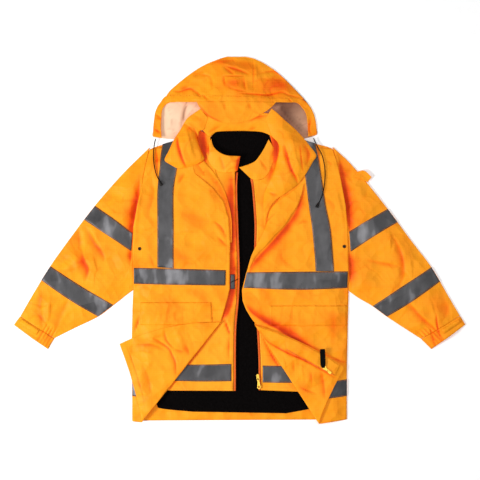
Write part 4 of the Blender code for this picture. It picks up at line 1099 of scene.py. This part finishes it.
def solid(name, profile, thick, centre, heading, material, body, hole=None, bevel=0.35, tilt=0.0,
          nodes=()):
    """A flat part from its outline, which is symmetric about its own long way: (along, half width) pairs."""
    outline = [(a, w) for a, w in profile] + [(a, -w) for a, w in reversed(profile) if w > 0.01]
    mesh = bpy.data.meshes.new(name)
    n = len(outline)
    points = [(a, w, z) for z in (-thick / 2, thick / 2) for a, w in outline]
    if hole:
        middle, radius, wide = hole
        ring = [(middle + radius * math.cos(2 * math.pi * k / n), wide * math.sin(2 * math.pi * k / n))
                for k in range(n)]
        start = min(range(n), key=lambda k: math.dist(ring[k], outline[0]))
        turn = 1 if area_of(outline) * area_of(ring) > 0 else -1
        ring = [ring[(start + turn * k) % n] for k in range(n)]
        points += [(a, w, z) for z in (-thick / 2, thick / 2) for a, w in ring]
        faces = []
        for k in range(n):
            j = (k + 1) % n
            faces += [(k, j, 2 * n + j, 2 * n + k), (n + j, n + k, 3 * n + k, 3 * n + j),
                      (j, k, n + k, n + j), (2 * n + k, 2 * n + j, 3 * n + j, 3 * n + k)]
    else:
        faces = [tuple(range(n))[::-1], tuple(range(n, 2 * n))]
        faces += [(k, (k + 1) % n, n + (k + 1) % n, n + k) for k in range(n)]
    mesh.from_pydata([tuple(v * MM for v in p) for p in points], [], faces)
    mesh.update()
    obj = bpy.data.objects.new(name, mesh)
    turned = Matrix.Rotation(math.radians(heading), 4, "Z") @ Matrix.Rotation(math.radians(tilt), 4, "Y")
    mesh.transform(Matrix.Translation(Vector(centre) * MM) @ turned)
    edge = obj.modifiers.new("edges", "BEVEL")
    edge.width = bevel * MM
    edge.segments = 3
    edge.limit_method = "ANGLE"
    finish_piece(obj, material, list(nodes), body)
    return obj


def area_of(outline):
    return sum(a[0] * b[1] - b[0] * a[1] for a, b in zip(outline, outline[1:] + outline[:1]))


def rounded(length, wide, start_wide=None, steps=6):
    """Half outline of a bar with round ends, from its near end to its far one."""
    start_wide = start_wide or wide
    near = [(start_wide * (1 - math.cos(t)), start_wide * math.sin(t)) for t in np.linspace(0, math.pi / 2, steps)]
    far = [(length - wide * (1 - math.sin(t)), wide * math.cos(t)) for t in np.linspace(0, math.pi / 2, steps)]
    return near + far


def teeth(name, line, material, pitch=3.0, half=1.1):
    """Zip teeth: small bevelled blocks along a line, each with a nib on top."""
    points, faces = [], []
    line = np.asarray(line, float)
    reach = np.concatenate([[0], np.cumsum(np.linalg.norm(np.diff(line, axis=0), axis=1))])
    for start in np.arange(pitch, reach[-1] - pitch, pitch):
        ends = (start - half * 0.6, start + half * 0.6)
        a, b = (np.array([np.interp(end, reach, line[:, k]) for k in range(3)]) for end in ends)
        way = (b - a) / np.linalg.norm(b - a)
        side = np.array([-way[1], way[0], 0]) * half * 1.5
        first = len(points)
        for z, shrink in ((0.0, 1.0), (0.9, 1.0), (1.5, 0.55)):
            centre = (a + b) / 2 + [0, 0, z]
            for sx, sy in ((-1, -1), (1, -1), (1, 1), (-1, 1)):
                points.append(centre + (b - a) / 2 * sx * shrink + side * sy * shrink)
        for level in (0, 4):
            for k in range(4):
                j = (k + 1) % 4
                faces.append(tuple(first + level + v for v in (k, j, j + 4, k + 4)))
        faces += [tuple(first + v for v in (3, 2, 1, 0)), tuple(first + v for v in (8, 9, 10, 11))]
    obj = bpy.data.objects.new(name, mesh_of(name, points, faces))
    return finish_piece(obj, material, [])


def lathed(name, profile, start, heading, material, nodes, around=28):
    """A turned piece along its heading: the profile's rows are (radius, way along)."""
    turn = Vector(heading).to_track_quat("Z", "Y").to_matrix()
    points = []
    for radius, way in profile:
        for k in range(around):
            angle = 2 * math.pi * k / around
            spot = turn @ Vector((radius * math.cos(angle), radius * math.sin(angle), way))
            points.append(np.array(start) + np.array(spot))
    faces = grid_faces(len(profile), around, ring=True)
    faces += [tuple(range(around))[::-1], tuple(range(len(points) - around, len(points)))]
    obj = bpy.data.objects.new(name + "_turned", mesh_of(name, points, faces))
    mesh = obj.data
    if mesh.polygons[0].normal.dot(Vector(points[0]) - Vector(start)) < 0:
        mesh.flip_normals()
    finish_piece(obj, material, nodes)
    return obj


def cord(name, points, diameter, material, nodes):
    data = bpy.data.curves.new(name, "CURVE")
    data.dimensions = "3D"
    data.bevel_depth = diameter / 2 * MM
    data.bevel_resolution = 4
    data.use_fill_caps = True
    line = data.splines.new("POLY")
    line.points.add(len(points) - 1)
    for spot, point in zip(line.points, points):
        spot.co = (*(np.array(point) * MM), 1)
    obj = bpy.data.objects.new(name + "_braid", data)
    finish_piece(obj, material, nodes)
    return obj


def drawcord(side, table, material, end_material):
    """A free drawcord from the hood's lower corner, over the brace, to its bell-shaped end."""
    plan = through(table, 5)
    x, y = plan[:, 0], plan[:, 1]
    height = np.maximum(front_top(x, y) + LIE + TAPE + CORD / 2 + 0.9, BODY(x, y)[0] + LIE + TAPE + CORD / 2 + 0.1)
    height[0] = max(height[0], 3.4)
    for _ in range(6):
        height[1:-1] = np.maximum(height[1:-1], (height[:-2] + height[2:]) / 2)
    route = np.column_stack([x, y, height])
    heading = route[-1] - route[-2]
    heading[2] = 0
    heading /= np.linalg.norm(heading)
    start = route[-1] + heading * 0.2 + np.array([0, 0, CORD_END_MOUTH - CORD / 2])
    neck, mouth, length = CORD_END_NECK, CORD_END_MOUTH, CORD_END_LENGTH
    profile = [(0.4, 0), (neck - 0.5, 0), (neck, 0.4), (neck + 0.1, 2.2), (neck - 0.3, 2.6), (neck + 0.1, 3.2),
               (neck + 0.7, 5.5), (mouth - 0.4, length - 5), (mouth, length - 2), (mouth, length - 0.8),
               (mouth - 0.7, length), (mouth - 1.6, length), (mouth - 2.0, length - 1.2), (0.4, length - 1.4)]
    end = lathed("cord_end_" + side, profile, start, heading, end_material, ["cord_end_" + side])
    obj = cord("drawcord_" + side, route, CORD, material, ["drawcord_" + side])
    length = np.linalg.norm(np.diff(route, axis=0), axis=1).sum()


def gather_lines(rows, shares, width=3.4, height=-3.0):
    """Creases along a cuff at these shares of the way across it."""
    first, last = rows[0], rows[-1]
    lines = []
    for share in shares:
        a = (first.ax + (first.bx - first.ax) * share, first.ay + (first.by - first.ay) * share)
        b = (last.ax + (last.bx - last.ax) * share, last.ay + (last.by - last.ay) * share)
        way = (b[0] - a[0], b[1] - a[1])
        back = (a[0] - way[0] * 0.7, a[1] - way[1] * 0.7)
        on = (b[0] + way[0] * 0.3, b[1] + way[1] * 0.3)
        lines.append(Crease(width, height, 0.5, [back, a, b, on]))
    return lines


def build():
    orange = hi_vis("hi_vis_orange", ORANGE, PAINTED_GLOW)
    inner_orange = hi_vis("inner_orange", INNER_ORANGE, PAINTED_GLOW)
    zip_red = hi_vis("zip_tape", ZIP_RED, ZIP_PAINTED_GLOW)
    grey = reflective("reflective_tape")
    black_fleece = fleece("black_fleece")
    lining = peach("hood_lining")
    braid = simple("cord_braid", (4, 4, 4), (15, 15, 15), 0.75, scale=900.0, depth=0.0003, specular=0.12)
    rubber = simple("cord_end_rubber", (5, 5, 5), (13, 13, 13), 0.55, scale=500.0, depth=0.00008, specular=0.25)
    yellow = simple("zip_metal", (222, 172, 42), (250, 208, 84), 0.3, 0.55, scale=220.0, depth=0.00006)
    tooth = simple("zip_teeth", (226, 100, 26), (246, 132, 46), 0.4, scale=300.0, depth=0.00005)
    dark_metal = simple("eyelet_metal", (60, 38, 14), (96, 62, 24), 0.35, 0.7, scale=300.0, depth=0.00005)
    tag_black = simple("tag", (4, 4, 4), (10, 10, 10), 0.8, scale=240.0, depth=0.00012, specular=0.06)
    thread = simple("thread", (255, 132, 20), (255, 156, 34), 0.6, scale=800.0, depth=0.0001, specular=0.1)
    # painted shade inside the eyelets' holes
    hole_painted_shade = simple("eyelet_hole_painted_shade", (10, 6, 3), (22, 14, 8), 0.8, scale=300.0, depth=0.0001)

    # Outer jacket
    draped("outer_back", BACK, BACK_LIE, orange, "outer_cloth", spacing=9, rests=("hood_back",))
    front_panel("outer_front_left", FRONT_LEFT, FOLD_LEFT, LEFT_FLAP, orange)
    front_panel("outer_front_right", FRONT_RIGHT, FOLD_RIGHT, RIGHT_FLAP, orange)
    left_gathers = gather_lines(CUFF_LEFT, (0.68, 0.77, 0.85, 0.93))
    right_gathers = gather_lines(CUFF_RIGHT, (0.62, 0.7, 0.78, 0.86, 0.94))
    sleeve("sleeve_left", SLEEVE_LEFT, LEFT, SLEEVE, orange, left_gathers)
    sleeve("sleeve_right", SLEEVE_RIGHT, RIGHT, SLEEVE, orange, right_gathers)
    sleeve("cuff_left", CUFF_LEFT, None, SLEEVE, orange, left_gathers)
    sleeve("cuff_right", CUFF_RIGHT, None, SLEEVE, orange, right_gathers)
    for name, rows in CUFF_TABS.items():
        draped(name, rows, SLEEVE, orange, "outer_cloth", lift=2.0, rests=("cuff" + name[8:],))
    for side, rows, creases, seed in (("left", COLLAR_LEFT, LEFT_COLLAR_CREASES, 61),
                                      ("right", COLLAR_RIGHT, RIGHT_COLLAR_CREASES, 67)):
        shaped("collar_" + side, rows, creases, seed, orange, "outer_cloth", lift=COLLAR_LIFT, held="folded",
               rests=("outer_front_" + side,), spacing=3.5)
    shaped("collar_back", COLLAR_BACK, COLLAR_BACK_CREASES, 71, orange, "outer_cloth", lift=0.4, held="folded",
           rests=("hood_back",), spacing=3.5, swell=0.3)
    shaped("facing_left", FACING_LEFT, FACING_CREASES, 73, orange, "outer_cloth", rests=("inner_front_left",),
           spacing=4, swell=0.2)
    shaped("storm_flap", STORM_FLAP, [Crease(4, -1, 0.4, [(116, 87), (80, 52), (62, 16), (53, -7)])], 79, orange,
           "outer_cloth", lift=COLLAR_LIFT, held="folded", rests=("outer_front_right",), spacing=4, swell=0.4)
    facing_band(orange)
    for side, rows in (("left", NECK_FACING_LEFT), ("right", NECK_FACING_RIGHT)):
        shaped("neck_facing_" + side, rows, NECK_SHADE, 91, orange, "outer_cloth", rests=("inner_back",),
               spacing=4, swell=0.3)

    # Hood
    draped("hood_back", HOOD_BACK, HOOD_FLOOR, lining, "hood_lining", spacing=6, rests=("outer_back",))
    draped("hood_crown", HOOD_CROWN, HOOD, orange, "outer_cloth", rests=("hood_back",), spacing=4)
    draped("hood_brim", HOOD_BRIM, HOOD, orange, "outer_cloth", held="gathered", rests=("hood_back",), spacing=3)
    draped("hood_peak", HOOD_PEAK, PEAK, orange, "outer_cloth", rests=("collar_back",), spacing=3.5)

    # Inner jacket
    draped("inner_back", INNER_BACK, FLEECE_LIE, black_fleece, "fleece", FLEECE, spacing=7,
           rests=("outer_back",))
    for side, rows, zip_rows in (("left", INNER_LEFT, INNER_ZIP_LEFT), ("right", INNER_RIGHT, INNER_ZIP_RIGHT)):
        zip_edge = draped("inner_zip_" + side, zip_rows, INNER_LIE, zip_red, "zip_tape", INNER, spacing=2,
                          trim=True)
        draped("inner_front_" + side, rows, INNER_LIE, inner_orange, "inner_cloth", INNER, rests=("inner_back",),
               with_pieces=[zip_edge])
    shaped("inner_collar_left", INNER_COLLAR_LEFT, INNER_COLLAR_CREASES, 83, inner_orange, "inner_cloth", INNER,
           rests=("inner_front_left",), spacing=3)
    shaped("inner_collar_right", INNER_COLLAR_RIGHT, [Crease(9, -2, 0.35, [(62, 250), (86, 215)]),
           Crease(12, -3, 0.6, [(108, 285), (106, 245)])], 89, inner_orange, "inner_cloth", INNER,
           rests=("inner_front_right",), spacing=3)

    # Tapes and trim
    body_tapes = {
        "brace_left": BRACE_LEFT, "brace_right": BRACE_RIGHT, "waist_tape_left": WAIST_LEFT,
        "waist_tape_right": WAIST_RIGHT, "hem_tape_left": HEM_TAPE_LEFT, "hem_tape_right": HEM_TAPE_RIGHT,
    }
    for tapes, lie, under in ((body_tapes, BODY, "outer_front_"), (SLEEVE_TAPES, SLEEVE, "sleeve_")):
        for name, rows in tapes.items():
            draped(name, rows, lie, grey, "reflective_tape", TAPE, LIE + TAPE,
                   rests=(under + name.split("_")[-1],))
    for name, rows, under in (("inner_tape_left", INNER_TAPE_LEFT, "inner_front_left"),
                              ("inner_tape_right", INNER_TAPE_RIGHT, "inner_front_right"),
                              ("inner_waist_patch", INNER_WAIST_PATCH, "inner_front_left")):
        draped(name, rows, INNER_LIE, grey, "reflective_tape", TAPE, 0.4 + TAPE, spacing=4, rests=(under,))
    for side, rows in (("left", POCKET_LEFT), ("right", POCKET_RIGHT)):
        draped("pocket_flap_" + side, rows, BODY, orange, "outer_cloth", TAPE, LIE + TAPE,
               rests=("outer_front_" + side,))
    draped("sleeve_loop", SLEEVE_LOOP, SLEEVE, orange, "outer_cloth", TAPE, LIE + TAPE + 1.5,
           rests=("sleeve_right",), spacing=3)

    # Cords
    drawcord("left", CORD_LEFT, braid, rubber)
    drawcord("right", CORD_RIGHT, braid, rubber)
    small = through([(x, y, INNER_FRONT_TOP + TAPE + SMALL_CORD_UP) for x, y in SMALL_CORD], 4)
    cord("small_cord", small, 2 * SMALL_CORD_RADIUS, braid, ["small_cord"])

    sew(thread)
    fastenings(yellow, tooth, tag_black, dark_metal, hole_painted_shade)


def facing_band(material):
    """The band along the front edge of the turned right corner, on its upper side."""
    fold = FOLD_RIGHT
    p, q, c = np.array(fold[0:2]), np.array(fold[2:4]), np.array(fold[4:6])
    out = edge_outward(p, c, q)
    rows = []
    for share, width in ZIP_FACING:
        edge = p + (c - p) * share + out * fold.front_bow * 4 * share * (1 - share)
        rows.append((*(edge - out * ZIP_FACING_INSET), *(edge - out * (ZIP_FACING_INSET + width))))
    points, shade = turned_over(sections(rows, 14, 22), fold, BODY, RIGHT_FLAP)
    points[..., 2] += SHELL + LIE + TAPE
    cloth("zip_facing", points, TAPE, material, "outer_cloth", shade, rests=("outer_front_right",))


def sew(thread):
    """Rows of stitches on the outer and inner jackets."""
    body, hood, rest = Thread(), Thread(), Thread()
    for name in ("brace_left", "brace_right", "waist_tape_left", "waist_tape_right"):
        body.both_sides(name)
    for name in ("pocket_flap_left", "pocket_flap_right"):
        body.across(name, 0.03)
        body.down(name, 0.02)
        body.down(name, 0.98)
    body.on(BODY, [(89, -39), (90, -95)], 0.2)
    body.on(BODY, [(90, -156), (90, -200)], 0.2)
    body.on(BODY, [(-140, 180), (-92, 150), (-60, 112), (-46, 66), (-41, -6), (-43, -84)], 0.2)
    for name in (*SLEEVE_TAPES, "inner_tape_left", "inner_tape_right", "hem_tape_left", "hem_tape_right"):
        rest.both_sides(name)
    for name in ("inner_front_left", "inner_front_right"):
        rest.down(name, 0.985, first=0.1, last=0.97)
        rest.across(name, 0.975)
    rest.down("outer_back", 0.978, first=0.02, last=0.98)
    for name in ("cuff_left", "cuff_right"):
        points = SEWN[name]
        for row in (1, -2):
            rest.run(points[row, 2:points.shape[1] // 2 - 2] + [0, 0, 0.2])
    hood.across("hood_brim", 0.12)
    hood.across("hood_brim", 0.9)
    hood.on(HOOD, [(39.5, 556), (39.5, 500), (39.5, 448)], 0.25)
    hood.on(HOOD, [(48.5, 556), (48.5, 500), (48.5, 448)], 0.25)
    hood.down("hood_crown", 0.02, first=0.02, last=0.98)
    for share in (0.035, 0.965):
        hood.across("hood_peak", share)
    hood.across("collar_left", 0.05)
    hood.across("collar_right", 0.05)
    hood.across("storm_flap", 0.06)
    hood.across("facing_left", 0.15)
    body.made("stitching_body", thread)
    rest.made("stitching_trim", thread)
    hood.made("stitching_hood", thread)
    for name, lie, line in (
            ("stitching_flap_left", LEFT_FLAP,
             [(-352, -322), (-341, -345), (-329, -376), (-315, -419), (-299, -478), (-293, -520)]),
            ("stitching_flap_right", RIGHT_FLAP,
             [(292, -436), (283, -455), (274, -482), (262, -512), (252, -538)])):
        flap = Thread()
        flap.on(lie, line, 2 * ROLL + SHELL + 0.2)
        flap.made(name, thread)


def fastenings(yellow, tooth, tag_black, dark_metal, hole_painted_shade):
    """Zips, pulls, the tag and the eyelets."""
    for side in ("left", "right"):
        line = at_share(SEWN["inner_zip_" + side], 0.75, 1) + [0, 0, 0.05]
        teeth("inner_teeth_" + side, line, tooth)
    facing = SEWN["zip_facing"]
    line = at_share(facing, 0.97, 1)
    teeth("outer_teeth", line[int(len(line) * 0.45):] + [0, 0, 0.1], tooth)
    outer_ground = float(front_top(OUTER_PULL.x, OUTER_PULL.y)) + 2 * ROLL + SHELL + LIE + TAPE
    pulls = (("inner_zip", INNER_PULL, INNER_FRONT_TOP, "inner_pull"),
             ("outer_zip", OUTER_PULL, outer_ground, "outer_pull"))
    for prefix, pull, ground, body in pulls:
        turn = math.radians(pull.heading)
        way = np.array([math.cos(turn), math.sin(turn), 0])
        slider = np.array([pull.x, pull.y, ground + SLIDER_LIE + SLIDER_HEIGHT / 2])
        near = slider - way * SLIDER_LENGTH / 2
        shape = [(0, 2.0), (0.6, 3.2), (2.5, 4.4), (6.0, 4.5), (9.5, 3.4), (12.2, 3.0), (13.0, 2.2)]
        for part, z in (("plate_low", -1.1), ("plate_top", 1.1)):
            solid(prefix + "_slider_" + part, shape, 0.8, near + [0, 0, z], pull.heading, yellow,
                  "garment", nodes=[prefix + "_slider"] if part == "plate_low" else [])
        solid(prefix + "_slider_core", [(2.5, 1.2), (6, 1.6), (9, 1.0)], 1.6, near, pull.heading, yellow,
              "garment", bevel=0.2)
        hinge = slider + np.array([0, 0, SLIDER_HEIGHT / 2 + PULL_CLEAR + PULL_THICK / 2])
        base = hinge - way * PULL_THICK / 2
        long, half = pull.length, pull.width / 2
        frame_part = rounded(long * 0.42, half * 0.62, half * 0.72)
        solid(prefix + "_pull_link", frame_part, PULL_THICK * 0.8, base, pull.heading, yellow, body,
              hole=(long * 0.21, long * 0.12, half * 0.36), nodes=[prefix + "_pull"])
        handle = rounded(long * 0.64, half, half * 0.5)
        solid(prefix + "_pull_handle", handle, PULL_THICK, base + way * long * 0.36, pull.heading, yellow,
              body, hole=(long * 0.48, half * 0.5, half * 0.5))
    tip = base + way * OUTER_PULL.length
    turn = math.radians(TAG_HEADING)
    start = tip - np.array([math.cos(turn), math.sin(turn), 0]) * TAG_ON_PULL
    start[2] += (PULL_THICK + TAG_THICK) / 2 + SLIDER_LIE
    shape = [(0.0, 3.2), (1.0, 4.6), (7, 7.2), (12, 7.9), (52, 8.0), (56.6, 7.6), (58.0, 6.4)]
    solid("outer_zip_tag_plate", shape, TAG_THICK, start, TAG_HEADING, tag_black, "outer_pull", bevel=0.6,
          nodes=["outer_zip_tag"])
    for name, (x, y) in EYELETS.items():
        z = float(BODY(x, y)[0])
        centre = (x, y, z + 0.25)
        rim = [(EYELET_RADIUS * 0.55, 0.0), (EYELET_RADIUS * 0.7, 0.9), (EYELET_RADIUS, 1.3),
               (EYELET_RADIUS + 0.9, 0.9), (EYELET_RADIUS + 1.1, 0.0)]
        ring_piece(name, rim, centre, dark_metal, [name])
        # a dark disc inside the rim: painted shade of the hole
        lathed(name + "_hole", [(0.2, 0.1), (EYELET_RADIUS * 0.7, 0.1), (EYELET_RADIUS * 0.7, 0.4), (0.2, 0.35)],
               centre, (0, 0, 1), hole_painted_shade, [])


def ring_piece(name, profile, centre, material, nodes, around=32):
    """A pressed metal ring from its half section."""
    points = [
        (centre[0] + r * math.cos(2 * math.pi * k / around), centre[1] + r * math.sin(2 * math.pi * k / around),
         centre[2] + z)
        for r, z in profile
        for k in range(around)
    ]
    faces = grid_faces(len(profile), around, ring=True)
    n = (len(profile) - 1) * around
    faces += [(k, n + k, n + (k + 1) % around, (k + 1) % around) for k in range(around)]
    obj = bpy.data.objects.new(name + "_rim", mesh_of(name, points, faces))
    return finish_piece(obj, material, nodes)


# ---- floor, light and camera ----

PHOTO_WIDTH = 1.483      # metres of floor across the picture
CAMERA_HEIGHT = 5.0
SENSOR = 36.0
CAMERA_ASIDE = 0.001     # the middle of the picture
FLOOR_SIZE, FLOOR_DROP = 30, 0.0006
FLOOR_GLOW = ((255, 255, 255), 0.14)
LAMPS = (    # name, place, size in metres, power in watts
    ("key", (-2.6, -0.9, 2.1), 1.0, 92),
    ("top", (0.2, 0.3, 3.6), 3.0, 52),
    ("side", (2.8, 0.8, 2.4), 2.0, 14),
)
SKY = 0.24


def stage():
    bpy.ops.mesh.primitive_plane_add(size=FLOOR_SIZE, location=(0, 0, -FLOOR_DROP))
    floor = bpy.context.object
    floor.name = "floor"
    paper = Finish("pale_floor", 0.9, specular=0.1, emission=FLOOR_GLOW)
    paper.colour(paper.ramp(paper.noise(30, 3), [(0.3, (247, 247, 247)), (0.7, (251, 251, 251))]))
    floor.data.materials.append(paper.material)


def add_lamp(name, place, size, power):
    data = bpy.data.lights.new(name, "AREA")
    data.shape = "DISK"
    data.size = size
    data.energy = power
    obj = bpy.data.objects.new(name, data)
    obj.location = place
    obj.rotation_euler = (-Vector(place)).to_track_quat("-Z", "Y").to_euler()
    bpy.context.scene.collection.objects.link(obj)


def light():
    for lamp in LAMPS:
        add_lamp(*lamp)
    world = bpy.data.worlds.new("studio")
    world.use_nodes = True
    world.node_tree.nodes["Background"].inputs["Color"].default_value = (1, 1, 1, 1)
    world.node_tree.nodes["Background"].inputs["Strength"].default_value = SKY
    bpy.context.scene.world = world
    bpy.context.scene.view_settings.view_transform = "Standard"


def camera():
    data = bpy.data.cameras.new("above")
    data.sensor_width = SENSOR
    data.lens = SENSOR * CAMERA_HEIGHT / PHOTO_WIDTH
    data.dof.use_dof = False
    obj = bpy.data.objects.new("above", data)
    obj.location = (CAMERA_ASIDE, 0, CAMERA_HEIGHT)
    bpy.context.scene.collection.objects.link(obj)
    bpy.context.scene.camera = obj


camera()
build()
stage()
light()
